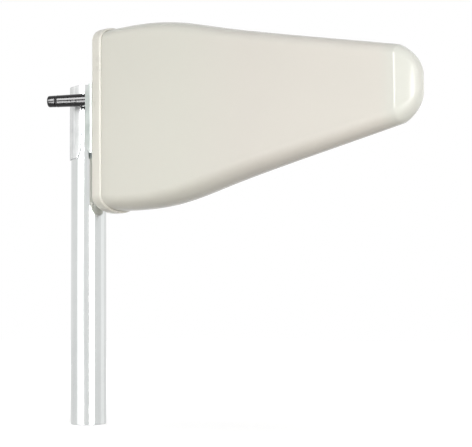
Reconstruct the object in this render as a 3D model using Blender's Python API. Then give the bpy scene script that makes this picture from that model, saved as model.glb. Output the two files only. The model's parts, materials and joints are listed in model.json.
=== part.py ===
"""Log-periodic antenna in a closed radome, clamped to a short mast tube.

Metres, +Z up. The mast stands on the origin and the antenna points along +X.
Most pieces are drawn from the datum: the middle of the rear cap's outer face.
"""

import math

import bmesh
import bpy
from mathutils import Matrix, Vector

MM = 0.001
GAP = 0.3 * MM  # clearance between pieces that seat on or in each other

# Mast
MAST_RADIUS = 20.0 * MM
MAST_WALL = 2.0 * MM
MAST_ABOVE_AXIS = 42.0 * MM
AXIS_HEIGHT = 340.0 * MM  # antenna axis above the foot of the mast
REAR_STANDOFF = 32.5 * MM  # mast axis to the rear face of the cap

# Rear cap
CAP_HALF_HEIGHT = 104.5 * MM
CAP_HALF_THICKNESS = 33.6 * MM
CAP_CROWN = 18.1 * MM  # depth of the half ellipse that rounds the cap's top and bottom
CROWN_FLAT = 0.3 * MM  # half the flat left on top of the crown
CAP_DEPTH = 12.5 * MM
CAP_FLOOR = 3.0 * MM
CAP_SKIRT = 2.2 * MM
CAP_REAR_EDGE = 2.0 * MM
CAP_FRONT_EDGE = 0.7 * MM
SEAL_THICKNESS = 1.2 * MM

# Radome shell, seen from the side
SHELL_LENGTH = 382.2 * MM  # rear face of the cap to the nose tip
SHELL_WALL = 2.5 * MM
SHOULDER_HANDLE = 68.0 * MM
SHOULDER_SWELL = 3.3 * MM
TAPER_START = 153.5 * MM
TAPER_HALF_HEIGHT = 85.05 * MM
TAPER_SLOPE = 0.266
TAPER_LEAD = 48.7 * MM
TAPER_RUN = 49.2 * MM
NOSE_HALF_HEIGHT = 37.9 * MM  # where the dome starts
NOSE_SLOPE = 0.226
NOSE_RUN = 62.0 * MM
NOSE_HALF_THICKNESS = 17.5 * MM
NOSE_CROWN = 13.0 * MM
DOME_REACH = 20.5 * MM  # the domed end ahead of the flanks
DOME_FULLNESS = 2.75  # 2 is a parabola, more is a fuller dome

# Screws that hold the cap to bosses in the shell
BOSS_RADIUS = 4.2 * MM
BOSS_LENGTH = 17.0 * MM
BOSS_SINK = 1.0 * MM  # boss end behind the shell's rear edge
BOSS_FLOOR = 2.0 * MM  # solid end of the boss ahead of its bore
CAP_SCREW_RADIUS = 1.75 * MM
CAP_SCREW_LENGTH = 16.0 * MM
CAP_SCREW_HEAD_RADIUS = 3.5 * MM
CAP_SCREW_HEAD = 2.4 * MM

# Mast bracket, a tray of bent sheet on the rear cap
SHEET = 1.5 * MM
BEND = 2.5 * MM  # outer radius of the sheet's bends
BRACKET_HALF_WIDTH = 33.0 * MM
BRACKET_HALF_HEIGHT = 39.0 * MM
BRACKET_DEPTH = 9.5 * MM
BRACKET_CHAMFER_DEPTH = 6.0 * MM
BRACKET_CHAMFER_HEIGHT = 9.0 * MM

# Cradle, a channel whose edges seat on the mast
CRADLE_HALF_WIDTH = 10.0 * MM

# Strap round the back of the mast
STRAP_SHEET = 1.2 * MM
STRAP_HALF_HEIGHT = 41.3 * MM
STRAP_NEAR_LEG = 6.3 * MM  # past the middle of the mast, on the free side
STRAP_FAR_LEG = 10.5 * MM  # past the middle of the mast, on the bolted side
STRAP_EAR = 12.0 * MM
STRAP_CHAMFER_DEPTH = 6.0 * MM
STRAP_CHAMFER_HEIGHT = 13.0 * MM

# Studs and nuts that draw the strap home
STUD_RADIUS = 2.5 * MM
STUD_LENGTH = 42.0 * MM
STUD_COLLAR_RADIUS = 3.5 * MM
STUD_COLLAR = 1.2 * MM
STUD_FROM_AXIS = 22.0 * MM
CLAMP_NUT_FLATS = 8.0 * MM
CLAMP_NUT_HEIGHT = 4.0 * MM
CLAMP_WASHER_RADIUS = 5.0 * MM
CLAMP_WASHER = 1.0 * MM
STRAP_OPENING = 8.0 * MM

# Bolts through cradle, bracket, cap and boom foot
BOLT_RADIUS = 3.0 * MM
BOLT_FROM_AXIS = 24.0 * MM
BOLT_FLATS = 10.0 * MM
BOLT_HEAD = 4.0 * MM
BOLT_NUT = 5.0 * MM
BOLT_TAIL = 1.5 * MM

# Booms and their foot
BOOM_SIDE = 8.0 * MM
BOOM_OFFSET = 6.6 * MM
BOOM_SOCKET = 3.0 * MM
BOOM_TIP_TO_NOSE = 36.0 * MM
FOOT_THICKNESS = 6.0 * MM
FOOT_BAR_HALF_WIDTH = 6.2 * MM
FOOT_END_MARGIN = 8.0 * MM
FOOT_SEAT_MARGIN = 2.0 * MM
BOOM_SCREW_RADIUS = 2.0 * MM
BOOM_SCREW_HEAD_RADIUS = 3.4 * MM
BOOM_SCREW_HEAD = 1.6 * MM
BOOM_SCREW_BITE = 10.0 * MM

# Dipoles: each is shorter than the one behind it by the same ratio
DIPOLE_COUNT = 10
DIPOLE_RATIO = 0.84
DIPOLE_FIRST_X = 28.0 * MM
DIPOLE_LAST_FROM_TIP = 10.0 * MM  # last dipole behind the tips of the booms
ROD_TIP_CLEARANCE = 4.5 * MM  # first dipole's ends inside the shell's wall
ROD_RADIUS = 2.2 * MM
ROD_SOCKET = 5.0 * MM

# Insulating blocks round the booms
BLOCK_THICKNESS = 8.0 * MM
BLOCK_WALL = 3.0 * MM
BLOCK_CORNER = 2.0 * MM
SPACER_DIPOLE_COUNTS = (2, 4)  # dipoles behind each of the two spacers
SUPPORT_DIPOLE_COUNT = 8  # dipoles behind the nose support
NOSE_SUPPORT_HALF_HEIGHT = 15.0 * MM

# Feed
COAX_RADIUS = 1.8 * MM
JUMPER_THICKNESS = 1.2 * MM
JUMPER_HALF_HEIGHT = 4.0 * MM

# Coaxial outlet, turned outward so that the lead clears the mast
OUTLET_ANGLE = math.radians(22.0)
OUTLET_Y = -19.0 * MM
OUTLET_Z = 22.6 * MM
SEAT_RADIUS = 6.9 * MM
SEAT_FLANGE_RADIUS = 10.4 * MM
SEAT_FLANGE = 2.5 * MM
SEAT_INNER = 9.0 * MM
SEAT_OUTER = 4.0 * MM
JACK_RADIUS = 4.75 * MM
JACK_BORE = 3.5 * MM
JACK_INNER = 13.5 * MM
JACK_OUTER = 26.0 * MM
JACK_SHOULDER_RADIUS = 5.8 * MM
JACK_SHOULDER = 2.0 * MM
JACK_NUT_FLATS = 12.0 * MM
JACK_NUT = 2.5 * MM
DIELECTRIC_RECESS = 2.0 * MM
PIN_RADIUS = 0.8 * MM
BOOT_END = 60.6 * MM
BOOT_ROOT_RADIUS = 7.4 * MM
BOOT_END_RADIUS = 6.4 * MM
BOOT_END_ROUND = 1.6 * MM
BOOT_GROOVE_FROM_END = 9.5 * MM
BOOT_GROOVE_WIDTH = 1.6 * MM
BOOT_GROOVE_DEPTH = 0.7 * MM
BOOT_LEAD_HOLE = 4.0 * MM
BOOT_LIP = 3.0 * MM
BOOT_CAVITY_RADIUS = 4.6 * MM

# Facets
CORNER_STEPS = 8
SHOULDER_STEPS = 10
FLANK_STEPS = 5
NOSE_STEPS = 6
ROUND_SIDES = 24
FINE_SIDES = 40
ROD_SIDES = 12
STRAP_STEPS = 20
PAST = 1.0 * MM  # how far a cutter runs past the wall that it cuts


def clear_scene():
    for obj in list(bpy.data.objects):
        bpy.data.objects.remove(obj, do_unlink=True)


def finish_material(name, colour, roughness, metallic):
    material = bpy.data.materials.new(name)
    material.use_nodes = True
    shader = material.node_tree.nodes["Principled BSDF"]
    shader.inputs["Base Color"].default_value = (*colour, 1.0)
    shader.inputs["Roughness"].default_value = roughness
    shader.inputs["Metallic"].default_value = metallic
    return material


def make_materials():
    return {
        "radome": finish_material("radome_plastic", (0.72, 0.69, 0.64), 0.38, 0.0),
        "cap": finish_material("cap_plastic", (0.73, 0.71, 0.66), 0.40, 0.0),
        "chrome": finish_material("bright_tube", (0.80, 0.81, 0.80), 0.16, 1.0),
        "zinc": finish_material("zinc_steel", (0.66, 0.68, 0.66), 0.32, 1.0),
        "aluminium": finish_material("aluminium", (0.78, 0.79, 0.80), 0.35, 1.0),
        "brass": finish_material("brass", (0.72, 0.55, 0.26), 0.30, 1.0),
        "nickel": finish_material("nickel", (0.70, 0.69, 0.65), 0.22, 1.0),
        "rubber": finish_material("seal_rubber", (0.03, 0.03, 0.03), 0.75, 0.0),
        "boot": finish_material("boot_moulding", (0.012, 0.012, 0.013), 0.20, 0.0),
        "nylon": finish_material("nylon", (0.80, 0.79, 0.74), 0.50, 0.0),
        "ptfe": finish_material("white_insulator", (0.88, 0.88, 0.86), 0.45, 0.0),
        "coax": finish_material("coax_jacket", (0.05, 0.05, 0.05), 0.55, 0.0),
    }


def add_empty(name, parent, location, axis=None):
    """An empty on a joint's axis; its +Z turns to the axis where one is given."""
    empty = bpy.data.objects.new(name, None)
    bpy.context.scene.collection.objects.link(empty)
    empty.parent = parent
    empty.location = location
    if axis is not None:
        empty.rotation_mode = "QUATERNION"
        empty.rotation_quaternion = axis.to_track_quat("Z", "Y")
    return empty


def add_object(name, bm, parent, material=None, smooth=True):
    """Turn a bmesh into a named object; with no material it is a cutter."""
    bmesh.ops.recalc_face_normals(bm, faces=bm.faces)
    mesh = bpy.data.meshes.new(name)
    bm.to_mesh(mesh)
    bm.free()
    obj = bpy.data.objects.new(name, mesh)
    bpy.context.scene.collection.objects.link(obj)
    obj.parent = parent
    if material is None:
        obj.hide_render = True
        obj.display_type = "WIRE"
        return obj
    mesh.materials.append(material)
    if smooth:
        mesh.shade_smooth()
        mesh.set_sharp_from_angle(angle=math.radians(35.0))
    return obj


def boolean(obj, other, operation):
    modifier = obj.modifiers.new(operation.lower(), "BOOLEAN")
    modifier.operation = operation
    modifier.solver = "EXACT"
    modifier.object = other


def cut(obj, name, bm):
    boolean(obj, add_object(name, bm, obj.parent), "DIFFERENCE")


def add_loft(bm, rings):
    """Skin the rings of points in order, and close both ends with a flat face."""
    loops = [[bm.verts.new(point) for point in ring] for ring in rings]
    count = len(rings[0])
    for low, high in zip(loops, loops[1:]):
        for i in range(count):
            j = (i + 1) % count
            bm.faces.new((low[i], low[j], high[j], high[i]))
    bm.faces.new(loops[0])
    bm.faces.new(loops[-1])


def add_prism(bm, outline, axis, low, high):
    """Extrude a flat outline along X, Y or Z between two heights."""

    def point(pair, height):
        a, b = pair
        return {"X": (height, a, b), "Y": (a, height, b), "Z": (a, b, height)}[axis]

    add_loft(bm, [[point(pair, height) for pair in outline] for height in (low, high)])


def add_box(bm, low, high):
    outline = [(low[1], low[2]), (high[1], low[2]), (high[1], high[2]), (low[1], high[2])]
    add_prism(bm, outline, "X", low[0], high[0])


def add_rod(bm, radius, start, end, sides=ROUND_SIDES):
    """A closed cylinder between two points."""
    start = Vector(start)
    run = Vector(end) - start
    turn = run.to_track_quat("Z", "Y").to_matrix().to_4x4()
    bmesh.ops.create_cone(
        bm,
        cap_ends=True,
        segments=sides,
        radius1=radius,
        radius2=radius,
        depth=run.length,
        matrix=Matrix.Translation(start + run / 2) @ turn,
    )


def add_turned(bm, profile, sides=ROUND_SIDES, axis_run=None):
    """Turn a profile of (radius, height) pairs about Z, or about +X through axis_run.

    A profile that starts and ends on the axis gives a solid. Any other is closed
    back to its first pair and gives a ring.
    """
    on_axis = profile[0][0] == 0.0

    def place(radius, height, angle):
        spot = Vector((radius * math.cos(angle), radius * math.sin(angle), height))
        if axis_run is None:
            return spot
        return Vector(axis_run) + Vector((spot.z, spot.x, spot.y))

    rings = []
    for radius, height in profile:
        if radius == 0.0:
            rings.append([bm.verts.new(place(0.0, height, 0.0))])
            continue
        angles = [2 * math.pi * i / sides for i in range(sides)]
        rings.append([bm.verts.new(place(radius, height, angle)) for angle in angles])
    pairs = list(zip(rings, rings[1:]))
    if not on_axis:
        pairs.append((rings[-1], rings[0]))
    for low, high in pairs:
        for i in range(sides):
            j = (i + 1) % sides
            corners = [low[i % len(low)], low[j % len(low)], high[j % len(high)], high[i % len(high)]]
            bm.faces.new(list(dict.fromkeys(corners)))


def hexagon(flats):
    """Corner pairs of a hexagon across its flats."""
    radius = flats / math.sqrt(3.0)
    return [(radius * math.cos(i * math.pi / 3), radius * math.sin(i * math.pi / 3)) for i in range(6)]


def rounded_rectangle(half_a, half_b, corner, steps=CORNER_STEPS, crown=None):
    """Pairs round a rectangle with quarter circles at its corners, or quarter ellipses of depth crown."""
    depth = corner if crown is None else crown
    pairs = []
    for quarter, (sign_a, sign_b) in enumerate(((1, 1), (-1, 1), (-1, -1), (1, -1))):
        for i in range(steps + 1):
            angle = (quarter + i / steps) * math.pi / 2
            a = sign_a * (half_a - corner) + corner * math.cos(angle)
            b = sign_b * (half_b - depth) + depth * math.sin(angle)
            pairs.append((a, b))
    return pairs


def channel_outline(back, front, half_width, sheet, bend):
    """Pairs (x, y) of a bent channel whose web faces +X at front and whose legs end at back."""
    steps = 4
    inner = bend - sheet
    side = []
    for i in range(steps + 1):
        angle = math.pi / 2 * i / steps
        side.append((front - bend + bend * math.cos(angle), half_width - bend + bend * math.sin(angle)))
    side += [(back, half_width), (back, half_width - sheet)]
    for i in range(steps + 1):
        angle = math.pi / 2 * (1 - i / steps)
        side.append((front - bend + inner * math.cos(angle), half_width - bend + inner * math.sin(angle)))
    return side + [(x, -y) for x, y in reversed(side)]


def chamfer_outline(edge, depth, level, height):
    """Triangle (x, z) that takes a corner off at x = edge, z = level; height is signed."""
    return [
        (edge + 1.5 * depth, level + 0.5 * height),
        (edge - 0.5 * depth, level - 1.5 * height),
        (edge - 0.5 * depth, level + 0.5 * height),
    ]


# Radome shape

SHELL_REAR_HALF_HEIGHT = CAP_HALF_HEIGHT - CAP_SKIRT - GAP
SHELL_REAR_HALF_THICKNESS = CAP_HALF_THICKNESS - CAP_SKIRT - GAP
SHELL_REAR_CROWN = CAP_CROWN - CAP_SKIRT - GAP
SHELL_REAR_X = CAP_FLOOR + SEAL_THICKNESS + 2 * GAP
NOSE_START = SHELL_LENGTH - DOME_REACH


def bezier(points, t):
    a, b, c, d = points
    s = 1.0 - t
    return tuple(
        s**3 * a[i] + 3 * s**2 * t * b[i] + 3 * s * t**2 * c[i] + t**3 * d[i] for i in range(2)
    )


def side_outline():
    """(x, half height) pairs from the shell's rear edge to the start of the nose's dome."""
    rear = (CAP_DEPTH, SHELL_REAR_HALF_HEIGHT)
    taper = (TAPER_START, TAPER_HALF_HEIGHT)
    nose = (NOSE_START, NOSE_HALF_HEIGHT)
    shoulder = (
        rear,
        (rear[0] + SHOULDER_HANDLE, rear[1] + SHOULDER_SWELL),
        (taper[0] - TAPER_LEAD, taper[1] + TAPER_LEAD * TAPER_SLOPE),
        taper,
    )
    flank = (
        taper,
        (taper[0] + TAPER_RUN, taper[1] - TAPER_RUN * TAPER_SLOPE),
        (nose[0] - NOSE_RUN, nose[1] + NOSE_RUN * NOSE_SLOPE),
        nose,
    )
    pairs = [(SHELL_REAR_X, SHELL_REAR_HALF_HEIGHT), rear]
    for points, steps in ((shoulder, SHOULDER_STEPS), (flank, FLANK_STEPS)):
        pairs += [bezier(points, i / steps) for i in range(1, steps + 1)]
    return pairs


def blend(x, rear, nose):
    """Straight change of a size from the cap to the start of the nose."""
    share = (x - CAP_DEPTH) / (NOSE_START - CAP_DEPTH)
    return rear + (nose - rear) * min(max(share, 0.0), 1.0)


def half_thickness(x):
    return blend(x, SHELL_REAR_HALF_THICKNESS, NOSE_HALF_THICKNESS)


def crowned(thick, high, crown):
    """Pairs round a section with flat sides and a half ellipse at its top and bottom."""
    return rounded_rectangle(thick, high, thick - CROWN_FLAT, crown=crown)


def shell_ring(x, thick, high, crown, inset):
    """One section of the shell, moved in from its outer face by inset."""
    pairs = crowned(thick - inset, high - inset, crown - inset)
    return [(x, y, z) for y, z in pairs]


def shell_skin(wall):
    """Rings from the rear edge to the nose's end, at a depth below the outer face."""
    rings = []
    for x, high in side_outline():
        crown = blend(x, SHELL_REAR_CROWN, NOSE_CROWN)
        rings.append(shell_ring(x, half_thickness(x), high, crown, wall))
    base = shell_ring(NOSE_START, NOSE_HALF_THICKNESS, NOSE_HALF_HEIGHT, NOSE_CROWN, wall)
    for i in range(1, NOSE_STEPS + 1):
        scale = 1.0 - i / (NOSE_STEPS + 1)
        x = NOSE_START + (DOME_REACH - wall) * (1.0 - scale**DOME_FULLNESS)
        rings.append([(x, y * scale, z * scale) for _, y, z in base])
    return rings


def boss_centre():
    """(y, z) of a screw boss, sunk into the crown of the shell's inner face."""
    wide = SHELL_REAR_HALF_THICKNESS - SHELL_WALL - CROWN_FLAT
    deep = SHELL_REAR_CROWN - SHELL_WALL
    slope = math.hypot(wide, deep)
    share = math.sqrt(0.5)
    back = BOSS_RADIUS - BOSS_SINK
    y = CROWN_FLAT + share * wide - back * deep / slope
    z = SHELL_REAR_HALF_HEIGHT - SHELL_REAR_CROWN + share * deep - back * wide / slope
    return y, z


def corner_points():
    y, z = boss_centre()
    return [(y, z), (-y, z), (-y, -z), (y, -z)]


def make_radome_shell(datum, materials):
    bm = bmesh.new()
    add_loft(bm, shell_skin(0.0)[::-1] + shell_skin(SHELL_WALL))
    shell = add_object("radome_shell", bm, datum, materials["radome"])
    bosses = bmesh.new()
    start = SHELL_REAR_X + BOSS_SINK
    bore = CAP_SCREW_RADIUS + GAP
    profile = [
        (0.0, BOSS_LENGTH),
        (BOSS_RADIUS, BOSS_LENGTH),
        (BOSS_RADIUS, 0.0),
        (bore, 0.0),
        (bore, BOSS_LENGTH - BOSS_FLOOR),
        (0.0, BOSS_LENGTH - BOSS_FLOOR),
    ]
    for y, z in corner_points():
        add_turned(bosses, profile, axis_run=(start, y, z))
    boolean(shell, add_object("shell_bosses", bosses, datum), "UNION")


def cap_ring(x, inset):
    pairs = crowned(CAP_HALF_THICKNESS - inset, CAP_HALF_HEIGHT - inset, CAP_CROWN - inset)
    return [(x, y, z) for y, z in pairs]


def make_rear_cap(datum, materials):
    bm = bmesh.new()
    rings = [
        cap_ring(0.0, CAP_REAR_EDGE),
        cap_ring(CAP_REAR_EDGE * (1 - math.sqrt(0.5)), CAP_REAR_EDGE * (1 - math.sqrt(0.5))),
        cap_ring(CAP_REAR_EDGE, 0.0),
        cap_ring(CAP_DEPTH - CAP_FRONT_EDGE, 0.0),
        cap_ring(CAP_DEPTH, CAP_FRONT_EDGE),
        cap_ring(CAP_DEPTH, CAP_SKIRT),
        cap_ring(CAP_FLOOR, CAP_SKIRT),
    ]
    add_loft(bm, rings)
    cap = add_object("rear_cap", bm, datum, materials["cap"])
    holes = bmesh.new()
    for y, z in corner_points():
        add_rod(holes, CAP_SCREW_RADIUS + GAP, (-PAST, y, z), (CAP_FLOOR + PAST, y, z))
    for z in (-BOLT_FROM_AXIS, BOLT_FROM_AXIS):
        add_rod(holes, BOLT_RADIUS + GAP, (-PAST, 0.0, z), (CAP_FLOOR + PAST, 0.0, z))
    cut(cap, "cap_holes", holes)
    cut(cap, "cap_outlet_hole", outlet_cutter(SEAT_RADIUS + GAP))


def make_cap_seal(datum, materials):
    bm = bmesh.new()
    low = CAP_FLOOR + GAP
    high = low + SEAL_THICKNESS
    rear = (SHELL_REAR_X, SHELL_REAR_HALF_THICKNESS, SHELL_REAR_HALF_HEIGHT, SHELL_REAR_CROWN)
    outer = shell_ring(*rear, 0.0)
    inner = shell_ring(*rear, SHELL_WALL)
    rings = [(inner, low), (outer, low), (outer, high), (inner, high)]
    loops = [[bm.verts.new((x, y, z)) for _, y, z in ring] for ring, x in rings]
    count = len(outer)
    for first, second in zip(loops, loops[1:] + loops[:1]):
        for i in range(count):
            j = (i + 1) % count
            bm.faces.new((first[i], first[j], second[j], second[i]))
    add_object("cap_seal", bm, datum, materials["rubber"])


def make_cap_screws(datum, materials):
    profile = [
        (0.0, CAP_SCREW_LENGTH),
        (CAP_SCREW_RADIUS * 0.5, CAP_SCREW_LENGTH),
        (CAP_SCREW_RADIUS, CAP_SCREW_LENGTH - CAP_SCREW_RADIUS),
        (CAP_SCREW_RADIUS, -GAP),
        (CAP_SCREW_HEAD_RADIUS, -GAP),
        (CAP_SCREW_HEAD_RADIUS, -GAP - 0.6 * CAP_SCREW_HEAD),
        (0.7 * CAP_SCREW_HEAD_RADIUS, -GAP - CAP_SCREW_HEAD),
        (0.0, -GAP - CAP_SCREW_HEAD),
    ]
    for number, (y, z) in enumerate(corner_points(), 1):
        bm = bmesh.new()
        add_turned(bm, profile, sides=16, axis_run=(0.0, y, z))
        add_object(f"cap_screw_{number}", bm, datum, materials["nickel"])


# Mast, bracket, cradle and strap

BRACKET_FRONT = -GAP
BRACKET_REAR = BRACKET_FRONT - SHEET
CRADLE_FRONT = BRACKET_REAR - GAP
CRADLE_REAR = CRADLE_FRONT - SHEET
STUD_Y = MAST_RADIUS + GAP + STRAP_SHEET + STRAP_EAR / 2
EAR_FRONT = STRAP_FAR_LEG - REAR_STANDOFF
EAR_REAR = EAR_FRONT - STRAP_SHEET


def make_mast(root, materials):
    top = AXIS_HEIGHT + MAST_ABOVE_AXIS
    inner = MAST_RADIUS - MAST_WALL
    bm = bmesh.new()
    add_turned(bm, [(MAST_RADIUS, top), (MAST_RADIUS, 0.0), (inner, 0.0), (inner, top)], FINE_SIDES)
    add_object("mast_tube", bm, root, materials["chrome"])


def make_mast_bracket(datum, materials):
    back = BRACKET_FRONT - BRACKET_DEPTH
    outline = channel_outline(back, BRACKET_FRONT, BRACKET_HALF_WIDTH, SHEET, BEND)
    bm = bmesh.new()
    add_prism(bm, outline, "Z", -BRACKET_HALF_HEIGHT, BRACKET_HALF_HEIGHT)
    bracket = add_object("mast_bracket", bm, datum, materials["zinc"])
    corners = bmesh.new()
    width = BRACKET_HALF_WIDTH + PAST
    for side in (-1, 1):
        level = side * BRACKET_HALF_HEIGHT
        height = side * BRACKET_CHAMFER_HEIGHT
        triangle = chamfer_outline(back, BRACKET_CHAMFER_DEPTH, level, height)
        add_prism(corners, triangle, "Y", -width, width)
    cut(bracket, "bracket_corners", corners)
    holes = bmesh.new()
    for z in (-BOLT_FROM_AXIS, BOLT_FROM_AXIS):
        add_rod(holes, BOLT_RADIUS + GAP, (BRACKET_REAR - PAST, 0.0, z), (BRACKET_FRONT + PAST, 0.0, z))
    for z in (-STUD_FROM_AXIS, STUD_FROM_AXIS):
        start = (BRACKET_REAR - PAST, STUD_Y, z)
        add_rod(holes, STUD_RADIUS + GAP, start, (BRACKET_FRONT + PAST, STUD_Y, z))
    cut(bracket, "bracket_holes", holes)
    cut(bracket, "bracket_outlet_hole", outlet_cutter(BOOT_ROOT_RADIUS + GAP))


def make_mast_cradle(datum, materials):
    inner = CRADLE_HALF_WIDTH - SHEET
    back = math.sqrt((MAST_RADIUS + GAP) ** 2 - inner**2) - REAR_STANDOFF
    outline = channel_outline(back, CRADLE_FRONT, CRADLE_HALF_WIDTH, SHEET, BEND)
    bm = bmesh.new()
    add_prism(bm, outline, "Z", -BRACKET_HALF_HEIGHT, BRACKET_HALF_HEIGHT)
    cradle = add_object("mast_cradle", bm, datum, materials["zinc"])
    holes = bmesh.new()
    for z in (-BOLT_FROM_AXIS, BOLT_FROM_AXIS):
        add_rod(holes, BOLT_RADIUS + GAP, (CRADLE_REAR - PAST, 0.0, z), (CRADLE_FRONT + PAST, 0.0, z))
    cut(cradle, "cradle_holes", holes)


def make_mast_strap(datum, materials):
    inner = MAST_RADIUS + GAP
    outer = inner + STRAP_SHEET

    def arc(radius):
        angles = [-math.pi / 2 - math.pi * i / STRAP_STEPS for i in range(STRAP_STEPS + 1)]
        return [(radius * math.cos(a) - REAR_STANDOFF, radius * math.sin(a)) for a in angles]

    near = STRAP_NEAR_LEG - REAR_STANDOFF
    outline = [(near, -outer)] + arc(outer)
    outline += [(EAR_REAR, outer), (EAR_REAR, outer + STRAP_EAR), (EAR_FRONT, outer + STRAP_EAR)]
    outline += [(EAR_FRONT, inner)] + arc(inner)[::-1] + [(near, -inner)]
    bm = bmesh.new()
    add_prism(bm, outline, "Z", -STRAP_HALF_HEIGHT, STRAP_HALF_HEIGHT)
    strap = add_object("mast_strap", bm, datum, materials["zinc"])
    corner = bmesh.new()
    depth = -STRAP_CHAMFER_DEPTH
    triangle = chamfer_outline(near, depth, -STRAP_HALF_HEIGHT, -STRAP_CHAMFER_HEIGHT)
    add_prism(corner, triangle, "Y", -outer - PAST, -inner + PAST)
    cut(strap, "strap_corner", corner)
    holes = bmesh.new()
    for z in (-STUD_FROM_AXIS, STUD_FROM_AXIS):
        add_rod(holes, STUD_RADIUS + GAP, (EAR_REAR - PAST, STUD_Y, z), (EAR_FRONT + PAST, STUD_Y, z))
    cut(strap, "strap_holes", holes)


def make_studs_and_nuts(datum, materials):
    collar = BRACKET_REAR - GAP
    profile = [
        (0.0, BRACKET_FRONT - GAP),
        (STUD_RADIUS, BRACKET_FRONT - GAP),
        (STUD_RADIUS, collar),
        (STUD_COLLAR_RADIUS, collar),
        (STUD_COLLAR_RADIUS, collar - STUD_COLLAR),
        (STUD_RADIUS, collar - STUD_COLLAR),
        (STUD_RADIUS, STUD_RADIUS / 2 - STUD_LENGTH),
        (STUD_RADIUS / 2, -STUD_LENGTH),
        (0.0, -STUD_LENGTH),
    ]
    washer = EAR_REAR - GAP
    nut = washer - CLAMP_WASHER - GAP
    hole = STUD_RADIUS + GAP
    ring = [
        (hole, washer),
        (CLAMP_WASHER_RADIUS, washer),
        (CLAMP_WASHER_RADIUS, washer - CLAMP_WASHER),
        (hole, washer - CLAMP_WASHER),
    ]
    for place, z in (("upper", STUD_FROM_AXIS), ("lower", -STUD_FROM_AXIS)):
        bm = bmesh.new()
        add_turned(bm, profile, axis_run=(0.0, STUD_Y, z))
        add_object(f"clamp_stud_{place}", bm, datum, materials["zinc"])
        bm = bmesh.new()
        add_turned(bm, ring, axis_run=(0.0, STUD_Y, z))
        add_object(f"clamp_washer_{place}", bm, datum, materials["zinc"])
        spin = add_empty(f"clamp_nut_{place}_axis", datum, (nut, STUD_Y, z))
        make_nut(f"clamp_nut_{place}", spin, CLAMP_NUT_FLATS, -CLAMP_NUT_HEIGHT, hole, materials["zinc"])


def make_nut(name, parent, flats, run, hole, material):
    """A hexagon nut along X from its parent, with a round hole."""
    bm = bmesh.new()
    add_prism(bm, hexagon(flats), "X", 0.0, run)
    nut = add_object(name, bm, parent, material, smooth=False)
    past = math.copysign(PAST, run)
    bore = bmesh.new()
    add_rod(bore, hole, (-past, 0.0, 0.0), (run + past, 0.0, 0.0))
    cut(nut, f"{name}_hole", bore)


def make_bracket_bolts(datum, materials):
    head = CRADLE_REAR - GAP
    nut = FOOT_REAR + FOOT_THICKNESS + GAP
    tip = nut + BOLT_NUT + BOLT_TAIL
    for place, z in (("upper", BOLT_FROM_AXIS), ("lower", -BOLT_FROM_AXIS)):
        seat = add_empty(f"bracket_bolt_{place}_axis", datum, (0.0, 0.0, z))
        bm = bmesh.new()
        add_prism(bm, hexagon(BOLT_FLATS), "X", head - BOLT_HEAD, head)
        bolt = add_object(f"bracket_bolt_{place}", bm, seat, materials["zinc"], smooth=False)
        shank = bmesh.new()
        add_rod(shank, BOLT_RADIUS, (head - BOLT_HEAD / 2, 0.0, 0.0), (tip, 0.0, 0.0))
        boolean(bolt, add_object(f"bracket_bolt_{place}_shank", shank, seat), "UNION")
        inner = add_empty(f"bracket_nut_{place}_axis", datum, (nut, 0.0, z))
        make_nut(f"bracket_nut_{place}", inner, BOLT_FLATS, BOLT_NUT, BOLT_RADIUS + GAP, materials["zinc"])


# Booms, dipoles and feed

FOOT_REAR = CAP_FLOOR + GAP
BOOM_REAR = FOOT_REAR + FOOT_THICKNESS - BOOM_SOCKET + GAP
BOOM_TIP = SHELL_LENGTH - BOOM_TIP_TO_NOSE
BOOM_HALF = BOOM_SIDE / 2
COAX_Y = -(BOOM_OFFSET + BOOM_HALF + COAX_RADIUS + 2 * GAP)
JUMPER_REAR = BOOM_TIP + GAP


def dipoles():
    """(x, half length) of each dipole; the spacing shrinks by the same ratio as the length."""
    x = DIPOLE_FIRST_X
    half = SHELL_REAR_HALF_HEIGHT - SHELL_WALL - ROD_TIP_CLEARANCE
    span = BOOM_TIP - DIPOLE_LAST_FROM_TIP - x
    step = span * (1 - DIPOLE_RATIO) / (1 - DIPOLE_RATIO ** (DIPOLE_COUNT - 1))
    rows = []
    for _ in range(DIPOLE_COUNT):
        rows.append((x, half))
        x += step
        step *= DIPOLE_RATIO
        half *= DIPOLE_RATIO
    return rows


def rod_side(number, boom):
    """Which way a boom's rod points: the two booms are opposed and each alternates."""
    return boom * (1 if number % 2 else -1)


def square(half, y):
    return [(y - half, -half), (y + half, -half), (y + half, half), (y - half, half)]


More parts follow.
